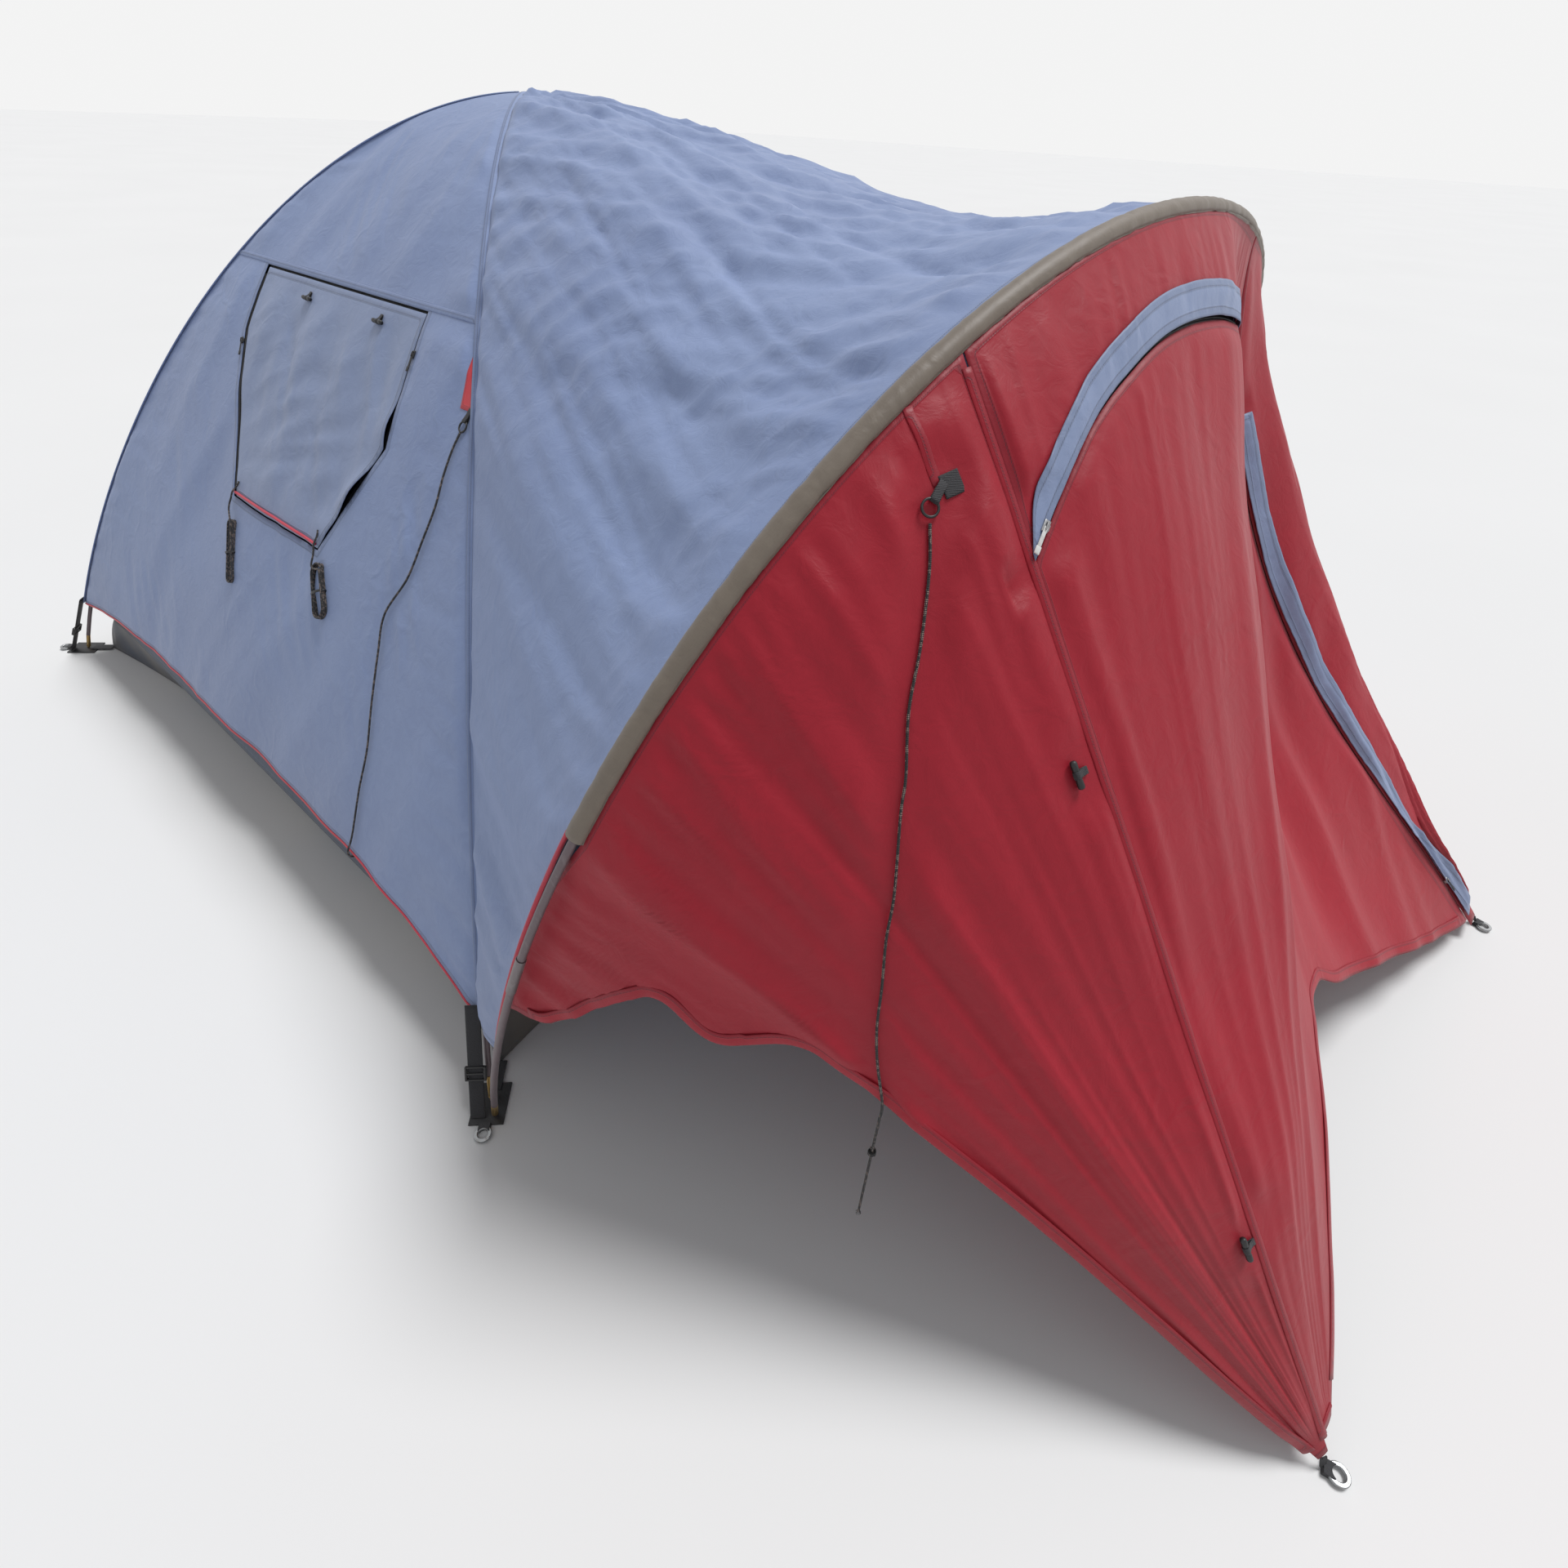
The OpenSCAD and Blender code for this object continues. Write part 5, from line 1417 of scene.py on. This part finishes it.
# %% [markdown]
# ## Corners
# At each corner a plate with pin holes takes the pole's pin. A strap ties it to the groundsheet, another with a
# ladder buckle pulls the fly down to it, and a ring takes the peg. The fittings are made once along plain axes and
# placed by a matrix at each corner, with X outward.

# %% Corner places
POLE_IN = 2 * (0.002 + 0.00475 + 0.001 + 0.003)      # the fly's thickness, half a pole, and two gaps, on both sides
pin_at = HALF - POLE_IN / 2
corner_names = {(True, False): "front_near", (True, True): "front_far", (False, False): "rear_near",
                (False, True): "rear_far"}


def corner_matrix(front, far):
    k = math.sqrt(0.5)
    a, b = (1 if front else -1), (1 if far else -1)
    return Matrix(((a * k, -a * k, 0, a * pin_at), (b * k, b * k, 0, b * pin_at), (0, 0, 1, 0), (0, 0, 0, 1)))


def placed(name, bm, matrix, body, slot):
    bmesh.ops.transform(bm, verts=bm.verts, matrix=matrix)
    if matrix.determinant() < 0:
        bmesh.ops.reverse_faces(bm, faces=bm.faces)
    return finished(name, bm, body, slot)


# %% A ladder buckle: two rails, with bars before and behind the strap
def block(bm, low, high, round_by):
    """A box between two corners with its edges rounded."""
    made = bmesh.ops.create_cube(bm, size=1)["verts"]
    for vert in made:
        vert.co = Vector((low[i] if vert.co[i] < 0 else high[i]) for i in range(3))
    edges = list({e for v in made for e in v.link_edges})
    bmesh.ops.bevel(bm, geom=edges, offset=round_by, affect="EDGES", segments=2, profile=0.5, material=-1)


def buckle_bm(width):
    bm = bmesh.new()
    half = width / 2
    for x in (-half - 0.0026, half + 0.0026):
        block(bm, (x - 0.0019, -0.0035, -0.012), (x + 0.0019, 0.0035, 0.012), 0.0009)
    for z, low, high in ((-0.0108, -0.0034, -0.0014), (0.0108, -0.0034, -0.0014), (0.0, 0.0014, 0.0034),
                         (-0.0108, 0.0014, 0.0030), (0.0105, 0.0014, 0.0034)):
        block(bm, (-half - 0.0012, low, z - 0.0014), (half + 0.0012, high, z + 0.0014), 0.0005)
    return bm


strap_low = Vector((0.033, 0.014, 0.0042))
x_top = (keep(0.168) - 1) * HALF * math.sqrt(2) + POLE_IN / 2 * math.sqrt(2) + 0.002
strap_high = Vector((x_top, 0.014, 0.168))
way = (strap_low - strap_high).normalized()
across = Vector((0, 1, 0))
local = Matrix((across, way.cross(across), way)).transposed().to_4x4()
local.translation = strap_high.lerp(strap_low, 0.6)
for (front, far), where in corner_names.items():
    matrix = corner_matrix(front, far)
    piece = placed("ladder_buckle_" + where, buckle_bm(0.025), matrix @ local, "buckle_" + where, "black_plastic")
    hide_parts("buckle_" + where)
    line = steps(lambda k: matrix @ strap_high.lerp(strap_low, k), 20)
    facing = (matrix.to_3x3() @ way.cross(across)).normalized()
    piece = band("fly_strap_" + where, line, [facing] * 21, 0.0245, 0.0016, "tent", "webbing_black", sides=12)
    if where == "front_near":
        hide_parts("fly_corner_straps")


# %% Keep a CAD shape, with its corners softened
SHARP = math.radians(35)


def refined(name, node, slot, bevel):
    """A copy of a CAD piece with its points merged, shaded smooth up to an angle, and its edges rounded."""
    source = bpy.data.objects[node]
    bm = bmesh.new()
    bm.from_mesh(source.data)
    bmesh.ops.transform(bm, verts=bm.verts, matrix=source.matrix_world)
    merge(bm, 1e-6)
    bmesh.ops.dissolve_limit(bm, angle_limit=math.radians(0.2), verts=bm.verts, edges=bm.edges)
    for edge in bm.edges:
        edge.smooth = len(edge.link_faces) == 2 and edge.calc_face_angle(0) < SHARP
    piece = finished(name, bm, body_of(source)[0], slot)
    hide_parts(node)
    if bevel:
        edge = piece.modifiers.new("softened edges", "BEVEL")
        edge.width, edge.segments, edge.limit_method, edge.angle_limit = bevel, 2, "ANGLE", SHARP


for node, slot, bevel in (
        ("dome_pole_1", "pole", 0), ("dome_pole_2", "pole", 0), ("hoop_pole", "pole", 0),
        ("dome_pole_1_ferrules", "ferrule", 0.0003), ("dome_pole_2_ferrules", "ferrule", 0.0003),
        ("hoop_pole_ferrules", "ferrule", 0.0003), ("pole_tips", "pole_tip", 0.0004),
        ("shock_cords", "shock_cord", 0), ("pole_clips", "black_plastic", 0.0003),
        ("corner_plates", "plate_metal", 0.0006), ("peg_rings", "ring_metal", 0.0012),
        ("corner_straps", "webbing_black", 0.0003), ("vestibule_tabs", "webbing_black", 0.0004)):
    refined(node + "_finished", node, slot, bevel)

# %% [markdown]
# ## Toggles and sliders
# The rolled-up door and flap are held by toggles: a barrel with a waist, held by an elastic tab. The zip sliders
# are small cast bodies with a bridge and a long pull.


# %% Places of the small fittings
def standing(origin, out, way):
    """A matrix with Z out of the cloth and X near to way."""
    z = out.normalized()
    x = (way - z * way.dot(z)).normalized()
    m = Matrix((x, z.cross(x), z)).transposed().to_4x4()
    m.translation = origin
    return m


# %% A toggle
TOGGLE_AT = Vector((0.016, 0, 0.0052))         # the barrel's middle from the foot of its tab
WAIST = [(0.0031, 0.0), (0.0033, 0.0030), (0.0039, 0.0070), (0.0040, 0.0130), (0.0036, 0.0150), (0.0022, 0.0163),
         (0.0, 0.0165)]


def toggle_bm():
    bm = bmesh.new()
    verts = [bm.verts.new((r, y, 0)) for r, y in [(r, -y) for r, y in WAIST[:0:-1]] + WAIST]
    edges = [bm.edges.new(pair) for pair in zip(verts, verts[1:])]
    spun(bm, verts + edges, (0, 1, 0), 24)
    bmesh.ops.translate(bm, verts=bm.verts, vec=TOGGLE_AT)
    return bm


def toggle(name, matrix, body, node):
    piece = placed(name, toggle_bm(), matrix, body, "black_plastic")
    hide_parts(node)
    line = [Vector((0.0004, 0, 0.0018)), Vector((0.004, 0, 0.0014)), Vector((0.010, 0, 0.0013))]
    outs = [Vector((0, 0, -1))] * 3
    for i in range(11):
        k = math.radians(-90 + 20 * i - 10)
        radial = Vector((math.cos(k), 0, math.sin(k)))
        line.append(TOGGLE_AT + radial * 0.0040)
        outs.append(radial)
    line += [Vector((0.009, 0, 0.0045)), Vector((0.003, 0, 0.0028)), Vector((0.0004, 0, 0.0027))]
    outs += [Vector((0, 0, 1))] * 3
    line = [matrix @ p for p in line]
    outs = [(matrix.to_3x3() @ o).normalized() for o in outs]
    band(name + "_tab", line, outs, 0.009, 0.0009, body, "webbing_black")


def vest_out(t, u):
    return (vest(t, u + 0.004) - vest(t, u - 0.004)).cross(vest(t + 0.4, u) - vest(t - 0.4, u)).normalized()


for u, where in zip(ROLL_SHARES, ("upper", "lower")):
    out = vest_out(ROLL_T, u)
    seam_way = vest(ROLL_T, u + 0.01) - vest(ROLL_T, u - 0.01)
    place = standing(vest(ROLL_T, u), out, out.cross(-seam_way))
    toggle("door_roll_toggle_" + where, place, "door_toggle_" + where, "door_toggle_" + where)
TOGGLE_Z = 0.978
for x, where in zip(TOGGLES_X, ("left", "right")):
    down = fly_side(0.5, pole_v(TOGGLE_Z - 0.003)) - fly_side(0.5, pole_v(TOGGLE_Z + 0.003))
    place = standing(fly_side(*fly_share(x, TOGGLE_Z)), near_out(TOGGLE_Z), down)
    toggle("window_roll_toggle_" + where, place, "window_toggle_" + where, "window_toggle_" + where)


# %% A zip slider
def slider_bm(lift):
    """The slider's plate, its foot in the coil, and the bridge that holds the pull."""
    bm = bmesh.new()
    block(bm, (-0.007, 0.0006, lift), (0.007, 0.0086, lift + 0.0022), 0.0009)
    block(bm, (-0.0035, -0.0006, -0.002), (0.0035, 0.0009, lift + 0.001), 0.0002)
    for x in (-0.0045, 0.0030):
        block(bm, (x, 0.0036, lift + 0.0018), (x + 0.0015, 0.0058, lift + 0.0046), 0.0004)
    block(bm, (-0.0045, 0.0036, lift + 0.0036), (0.0045, 0.0058, lift + 0.0048), 0.0004)
    return bm


def pull_bm(down, lift):
    """A long pull to +X, or a shorter one to -X, with a grip at its end."""
    bm = bmesh.new()
    low, high = (0.001, 0.031) if down > 0 else (-0.024, -0.001)
    end = high if down > 0 else low
    block(bm, (low, 0.0024, lift + 0.0024), (high, 0.0070, lift + 0.0034), 0.0005)
    block(bm, (end - 0.009, 0.0014, lift + 0.0020), (end, 0.0080, lift + 0.0040), 0.0009)
    return bm


def zip_slider(node, matrix, down, lift, slot, pull_slot):
    piece = placed(node + "_body", slider_bm(lift), matrix, node, slot)
    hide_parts(node)
    placed(node + "_pull", pull_bm(down, lift), matrix, node, pull_slot)


def upper_at(t):
    return vest(t, arch_u(t) + 0.0006 / vest_long(t))


FLAP_LIFT = 0.0016 + 0.0012
zip_slider("door_slider_upper", standing(upper_at(67), vest_out(67, arch_u(67)), upper_at(68) - upper_at(67)), -1,
           FLAP_LIFT, "zip_metal", "zip_metal")
zip_slider("door_slider_lower", standing(on_far(0.88, -0.0015), vest_out(zip_t(0.88), 0.88),
                                         on_far(0.88, 0) - on_far(0.87, 0)), 1, FLAP_LIFT + 0.001, "zip_metal",
           "zip_black")
CLOTH_LIFT = 0.0008


def edge_at(z, edge, inwards):
    """The place at height z on a straight-sided edge of the window."""
    for (z0, x0), (z1, x1) in zip(edge, edge[1:]):
        if z <= z1:
            return fly_side(*fly_share(mix(x0, x1, (z - z0) / (z1 - z0)) + inwards, z))


for where, edge, inwards, z, low, high, down in (
        ("left", LEFT_EDGE, 0.0018, 0.872, 0.868, 0.872, -1), ("right", RIGHT_EDGE, -0.0018, 0.94, 0.94, 0.936, 1)):
    place = standing(edge_at(z, edge, inwards), near_out(z), edge_at(high, edge, inwards) - edge_at(low, edge, inwards))
    zip_slider("window_slider_" + where, place, down, CLOTH_LIFT, "zip_black", "zip_black")
y, z = -ZIP_HALF, 0.33
p, out = cloth_point(inner_front, lambda *_: 0.0, *inner_share(y, z))
up = (inner_front(*inner_share(y, z + 0.003)) - inner_front(*inner_share(y, z - 0.003)))
zip_slider("inner_door_slider", standing(p, out, -up), 1, CLOTH_LIFT, "zip_metal", "zip_black")

# %% [markdown]
# ## Finishes
# A finish is built from a few groups of nodes that each do one job, such as the crinkle of coated nylon or the
# flecks of a braid. A group is made once and placed in each material with its own values. It gives colours,
# roughness and heights only, and the shader itself stays in the material.


# %% Node helpers
def linear(r, g, b):
    """A colour as seen on a screen, 0 to 255, as the light it stands for."""
    return tuple((c / 255 / 12.92 if c < 11 else ((c / 255 + 0.055) / 1.055) ** 2.4) for c in (r, g, b)) + (1.0,)


class Nodes:
    """Makes and links the nodes of one tree."""

    def __init__(self, tree):
        self.tree = tree

    def wire(self, socket, goal):
        self.tree.links.new(socket, goal)

    def fill(self, made, inputs):
        for key, value in inputs.items():
            if isinstance(value, bpy.types.NodeSocket):
                self.wire(value, made.inputs[key])
            else:
                made.inputs[key].default_value = value
        return made

    def add(self, kind, inputs=None, **settings):
        made = self.tree.nodes.new("ShaderNode" + kind)
        for key, value in settings.items():
            setattr(made, key, value)
        return self.fill(made, inputs or {})

    def calc(self, operation, a, b=0.0):
        return self.add("Math", {0: a, 1: b}, operation=operation).outputs[0]

    def plus(self, a, b):
        return self.calc("ADD", a, b)

    def minus(self, a, b):
        return self.calc("SUBTRACT", a, b)

    def times(self, a, b):
        return self.calc("MULTIPLY", a, b)

    def remap(self, value, low, high, to_low=0.0, to_high=1.0):
        return self.add("MapRange", {"Value": value, "From Min": low, "From Max": high, "To Min": to_low,
                                     "To Max": to_high}, interpolation_type="SMOOTHSTEP").outputs[0]

    def tint(self, share, a, b, **settings):
        return self.add("Mix", {0: share, 6: a, 7: b}, data_type="RGBA", **settings).outputs[2]

    def grain(self, where, scale, detail=2.0, **inputs):
        return self.add("TexNoise", {"Vector": where, "Scale": scale, "Detail": detail, **inputs}).outputs[0]

    def stretched(self, where, scale, detail, **inputs):
        return self.grain(self.add("Mapping", {"Vector": where, "Scale": scale}).outputs[0], 1.0, detail, **inputs)

    def place(self):
        return self.add("TexCoord").outputs["Object"]

    def threads(self):
        return self.add("UVMap", uv_map="cloth").outputs[0]

    def group(self, tree, values):
        made = self.tree.nodes.new("ShaderNodeGroup")
        made.node_tree = tree
        return self.fill(made, values).outputs


def new_group(name, inputs, outputs):
    tree = bpy.data.node_groups.new(name, "ShaderNodeTree")
    for label, kind, value in inputs:
        tree.interface.new_socket(label, in_out="INPUT", socket_type="NodeSocket" + kind).default_value = value
    for label, kind in outputs:
        tree.interface.new_socket(label, in_out="OUTPUT", socket_type="NodeSocket" + kind)
    return tree, Nodes(tree), tree.nodes.new("NodeGroupInput").outputs, tree.nodes.new("NodeGroupOutput").inputs


GREY = (0.5, 0.5, 0.5, 1)

# %% [markdown]
# Coated nylon shows three things: small sharp crinkles from being packed, a faint run of its threads, and a slow
# change of tone where the sun has faded it. Near the ground it is a little dusty.

# %% The cloth group
cloth_tree, n, given, result = new_group(
    "coated nylon", [("Colour", "Color", GREY), ("Faded", "Color", GREY), ("Crinkle", "Float", 1.0),
                     ("Dust", "Float", 0.3)], [("Colour", "Color"), ("Roughness", "Float"), ("Height", "Float")])
place_of, threads_of = n.place(), n.threads()
crinkle = n.grain(place_of, 30.0, 5.0, Roughness=0.6, Distortion=1.3)
bent = n.add("TexNoise", {"Vector": place_of, "Scale": 9.0, "Detail": 2.0}).outputs["Color"]
bent = n.add("VectorMath", {0: bent, 3: 0.16}, operation="SCALE").outputs[0]
bent = n.add("VectorMath", {0: place_of, 1: bent}, operation="ADD").outputs[0]
crease = n.add("TexVoronoi", {"Vector": bent, "Scale": 11.0}, feature="DISTANCE_TO_EDGE").outputs["Distance"]
patchy = n.grain(place_of, 4.0)
crease = n.times(n.remap(crease, 0.0, 0.16, 1.0, 0.0), n.remap(patchy, 0.45, 0.65))
thread = n.plus(n.stretched(threads_of, (1500, 90, 1), 1.0), n.stretched(threads_of, (90, 1500, 1), 1.0))
height = n.times(n.plus(n.times(crinkle, 0.9), n.times(crease, 0.4)), given["Crinkle"])
n.wire(n.plus(height, n.times(thread, 0.05)), result["Height"])
broad = n.grain(place_of, 1.7, 3.0)
tone = n.plus(n.remap(broad, 0.35, 0.7, 0.0, 0.5), n.times(n.remap(crinkle, 0.3, 0.7), 0.3))
tone = n.plus(tone, n.times(n.minus(thread, 1.0), 0.5))
colour = n.tint(tone, given["Colour"], given["Faded"], clamp_factor=True)
level_of = n.add("SeparateXYZ", {0: place_of}).outputs["Z"]
dusty = n.times(n.remap(level_of, 0.05, 0.5, 1.0, 0.0), n.remap(patchy, 0.3, 0.7))
n.wire(n.tint(n.times(dusty, given["Dust"]), colour, linear(150, 140, 120)), result["Colour"])
n.wire(n.remap(broad, 0.3, 0.7, 0.46, 0.6), result["Roughness"])

# %% The sewn edge: a turned hem with a row of stitches
SHADE = (0.02, 0.02, 0.03, 1)
edge_tree, n, given, result = new_group("sewn edge", [("Colour", "Color", GREY), ("Width", "Float", 0.012)],
                                        [("Colour", "Color"), ("Height", "Float")])
rim_of = n.add("Attribute", attribute_name="rim").outputs["Fac"]
inside = n.calc("DIVIDE", rim_of, given["Width"])
folded = n.remap(inside, 0.85, 1.0, 1.0, 0.0)
row = n.remap(n.calc("ABSOLUTE", n.minus(inside, 0.78)), 0.03, 0.09, 1.0, 0.0)
split = n.add("SeparateXYZ", {0: n.threads()}).outputs
dash = n.calc("SINE", n.times(n.plus(split[0], split[1]), 1800.0))
stitch = n.times(row, n.remap(dash, -0.4, 0.0))
# painted shade: the cloth of the turned hem is drawn up to 18 % darker, towards SHADE
shaded = n.tint(n.times(folded, 0.18), given["Colour"], SHADE)
n.wire(n.tint(n.times(stitch, 0.5), shaded, SHADE), result["Colour"])
n.wire(n.minus(folded, n.times(stitch, 0.6)), result["Height"])


# %% A cloth material
def material_of(name, roughness=0.5, metallic=0.0, specular=0.5, coat=0.0, sheen=0.0):
    made = bpy.data.materials.new(name)
    made.use_nodes = True
    shader = made.node_tree.nodes["Principled BSDF"].inputs
    shader["Roughness"].default_value = roughness
    shader["Metallic"].default_value = metallic
    shader["Specular IOR Level"].default_value = specular
    shader["Coat Weight"].default_value = coat
    shader["Sheen Weight"].default_value = sheen
    return made, Nodes(made.node_tree), shader


def bump(n, shader, height, distance, strength=1.0):
    made = n.add("Bump", {"Height": height, "Distance": distance, "Strength": strength})
    n.wire(made.outputs[0], shader["Normal"])


def nylon(name, colour, faded, crinkle_by=1.0, dust=0.3, hem=0.012, depth=0.0016):
    made, n, shader = material_of(name, specular=0.35, sheen=0.08)
    cloth = n.group(cloth_tree, {"Colour": linear(*colour), "Faded": linear(*faded), "Crinkle": crinkle_by,
                                 "Dust": dust})
    edge = n.group(edge_tree, {"Colour": cloth["Colour"], "Width": hem})
    n.wire(edge["Colour"], shader["Base Color"])
    n.wire(cloth["Roughness"], shader["Roughness"])
    bump(n, shader, n.plus(cloth["Height"], n.times(edge["Height"], 0.35)), depth, 0.7)
    return made


finish = {
    "fly_blue": nylon("fly nylon, blue", (130, 147, 187), (145, 162, 200), 1.4, 0.12),
    "fly_red": nylon("fly nylon, red", (154, 17, 38), (170, 26, 46), 1.0, 0.04),
    "flap_blue": nylon("flap nylon, blue", (134, 149, 183), (148, 162, 195), 1.2, 0.1),
    "inner_blue": nylon("inner nylon, dark blue", (52, 66, 88), (66, 82, 106), 0.8, 0.1),
    "floor_blue": nylon("coated floor, dark blue", (44, 56, 76), (54, 68, 90), 0.5, 0.5),
    "sleeve_tan": nylon("sleeve nylon, taupe", (118, 108, 98), (134, 124, 112), 0.9, 0.1, 0.0001),
    "piping_red": nylon("binding tape, red", (196, 58, 76), (208, 74, 92), 0.5, 0.25, 0.0001, 0.0006),
    "patch_red": nylon("patch nylon, red", (206, 62, 72), (214, 78, 88), 0.5, 0.1, 0.006, 0.0008),
}
print("cloth finishes:", ", ".join(sorted(finish)))

# %% [markdown]
# Mesh is drawn by holes in its Alpha, so that what is behind it still shows. Webbing has ribs across it, and the
# cords have a braid of black strands with a few pale ones.

# %% Mesh, webbing and braid
made, n, shader = material_of("insect mesh, black", 0.6)
holes = n.add("Mapping", {"Vector": n.threads(), "Scale": (4200, 4200, 1)}).outputs[0]
axes = n.add("SeparateXYZ", {0: holes}).outputs
threads_at = n.calc("MAXIMUM", n.calc("SINE", axes[0]), n.calc("SINE", axes[1]))
n.wire(n.remap(threads_at, 0.2, 0.5, 0.25, 1.0), shader["Alpha"])
n.wire(n.tint(n.grain(n.place(), 30.0), linear(14, 14, 17), linear(30, 30, 34)), shader["Base Color"])
finish["window_mesh"] = made

made, n, shader = material_of("webbing, black", 0.7, sheen=0.1)
where = n.place()
ribs = n.add("TexWave", {"Vector": where, "Scale": 260.0, "Distortion": 0.6, "Detail": 1.0}, bands_direction="Z")
grain = n.grain(where, 500.0)
n.wire(n.tint(grain, linear(13, 13, 17), linear(38, 38, 44)), shader["Base Color"])
bump(n, shader, n.plus(n.times(ribs.outputs["Fac"], 0.6), grain), 0.0006)
finish["webbing_black"] = made

made, n, shader = material_of("braided cord, black", 0.65, sheen=0.1)
axes = n.add("SeparateXYZ", {0: n.threads()}).outputs
left = n.calc("SINE", n.times(n.plus(axes[0], axes[1]), 1714.0))
right = n.calc("SINE", n.times(n.minus(axes[1], axes[0]), 1714.0))
strands = n.times(left, right)
fleck = n.times(n.remap(n.grain(n.place(), 220.0, 0.0), 0.54, 0.6), n.remap(strands, 0.1, 0.4))
n.wire(n.tint(fleck, linear(22, 21, 24), linear(172, 152, 142)), shader["Base Color"])
bump(n, shader, strands, 0.0005)
finish["cord_black"] = made

# %% [markdown]
# Plastic and metal parts share a group of fine grain and scuffs. Scuffs make a surface rougher and a little paler,
# more on the parts that rub against straps and ground.

# %% The scuffed surface group
scuff_tree, n, given, result = new_group(
    "scuffed surface", [("Colour", "Color", GREY), ("Worn", "Color", GREY), ("Roughness", "Float", 0.4),
                        ("Scuffs", "Float", 0.4)], [("Colour", "Color"), ("Roughness", "Float"), ("Height", "Float")])
where = n.place()
fine = n.grain(where, 420.0, 3.0)
marks = n.remap(n.stretched(where, (60, 300, 60), 4.0, Distortion=0.6), 0.5, 0.72)
marks = n.times(marks, given["Scuffs"])
n.wire(n.tint(marks, given["Colour"], given["Worn"]), result["Colour"])
n.wire(n.plus(given["Roughness"], n.times(marks, 0.3)), result["Roughness"])
n.wire(n.minus(fine, marks), result["Height"])


# %% Plastics and metals
def hard(name, colour, worn, roughness, metallic=0.0, scuffs=0.4):
    made, n, shader = material_of(name, metallic=metallic)
    scuffed = n.group(scuff_tree, {"Colour": linear(*colour), "Worn": linear(*worn), "Roughness": roughness,
                                   "Scuffs": scuffs})
    n.wire(scuffed["Colour"], shader["Base Color"])
    n.wire(scuffed["Roughness"], shader["Roughness"])
    bump(n, shader, scuffed["Height"], 0.0001, 0.5)
    return made


finish.update({
    "pole": hard("pole, taupe fibreglass", (108, 95, 99), (140, 130, 132), 0.4, 0.2),
    "ferrule": hard("ferrule, grey anodised", (118, 110, 112), (150, 144, 146), 0.36, 0.5),
    "pole_tip": hard("pole tip, brass-coloured", (176, 146, 92), (206, 184, 140), 0.33, 0.9),
    "shock_cord": hard("elastic cord, white", (214, 212, 206), (180, 176, 170), 0.7, 0.0, 0.6),
    "zip_black": hard("zip, black", (19, 19, 22), (48, 48, 52), 0.5, 0.0, 0.5),
    "zip_metal": hard("zip slider, painted", (150, 150, 152), (190, 190, 192), 0.35, 0.85),
    "black_plastic": hard("moulded plastic, black", (20, 20, 22), (58, 58, 60), 0.42, 0.0, 0.4),
    "ring_metal": hard("ring, zinc-plated", (158, 160, 162), (120, 112, 104), 0.34, 0.9, 0.5),
    "plate_metal": hard("plate, dark plastic", (34, 34, 37), (74, 74, 76), 0.5, 0.0, 0.5),
})
pale_pull = hard("zip pull, white plastic", (226, 226, 224), (190, 188, 182), 0.45, 0.0, 0.4)

# %% Give each piece its finish
plain = []
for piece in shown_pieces():
    if "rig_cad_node" in piece:
        plain.append(piece.name)
    elif not piece.data.materials:
        piece.data.materials.append(finish[piece["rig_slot"]])
bpy.data.objects["door_slider_upper_pull"].data.materials[0] = pale_pull
print("still plain:", plain or "none")

# %% [markdown]
# ## Floor, light and finish
# The tent stands on a pale floor under one large soft sun and an even sky. The sky looks white to the camera and
# to glossy surfaces, and lights the tent less than it shows.

# %% Stage
bm = bmesh.new()
bmesh.ops.create_grid(bm, x_segments=1, y_segments=1, size=60)
mesh = bpy.data.meshes.new("floor")
bm.to_mesh(mesh)
bm.free()
floor = bpy.data.objects.new("floor", mesh)
bpy.context.scene.collection.objects.link(floor)
floor.location.z = -0.0005
floor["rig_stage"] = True
made, n, shader = material_of("floor, pale", 0.9, specular=0.1)
n.wire(n.tint(n.grain(n.place(), 0.6, 3.0), (0.82, 0.82, 0.82, 1), (0.86, 0.86, 0.86, 1)), shader["Base Color"])
mesh.materials.append(made)

world = bpy.data.worlds.new("sky")
bpy.context.scene.world = world
world.use_nodes = True
world.node_tree.nodes.clear()
n = Nodes(world.node_tree)
seen = n.add("LightPath").outputs
shown = n.calc("MAXIMUM", seen["Is Camera Ray"],
               n.calc("MAXIMUM", seen["Is Glossy Ray"], seen["Is Transmission Ray"]))
sky = n.add("Background", {"Color": (0.97, 0.98, 1.0, 1), "Strength": 0.37})
white = n.add("Background", {"Color": (0.9, 0.9, 0.9, 1), "Strength": 1.0})
both = n.add("MixShader", {0: shown, 1: sky.outputs[0], 2: white.outputs[0]})
n.wire(both.outputs[0], n.add("OutputWorld").inputs["Surface"])


def sun(name, towards, strength, angle):
    lamp = bpy.data.lights.new(name, "SUN")
    lamp.energy, lamp.angle = strength, math.radians(angle)
    made = bpy.data.objects.new(name, lamp)
    made.rotation_euler = Vector(towards).to_track_quat("Z", "Y").to_euler()
    bpy.context.scene.collection.objects.link(made)
    made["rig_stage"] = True


sun("soft sun", (0.1, 0.45, 1.0), 2.3, 22)
bpy.context.scene.view_settings.view_transform = "Standard"
print("lit by a sun and a sky")

low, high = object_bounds()
{"cad": [list(cad_low), list(cad_high)], "finished": [list(low), list(high)]}
print("finished box", [round(x, 4) for x in low], [round(x, 4) for x in high])
print("CAD box", [round(x, 4) for x in cad_low], [round(x, 4) for x in cad_high])
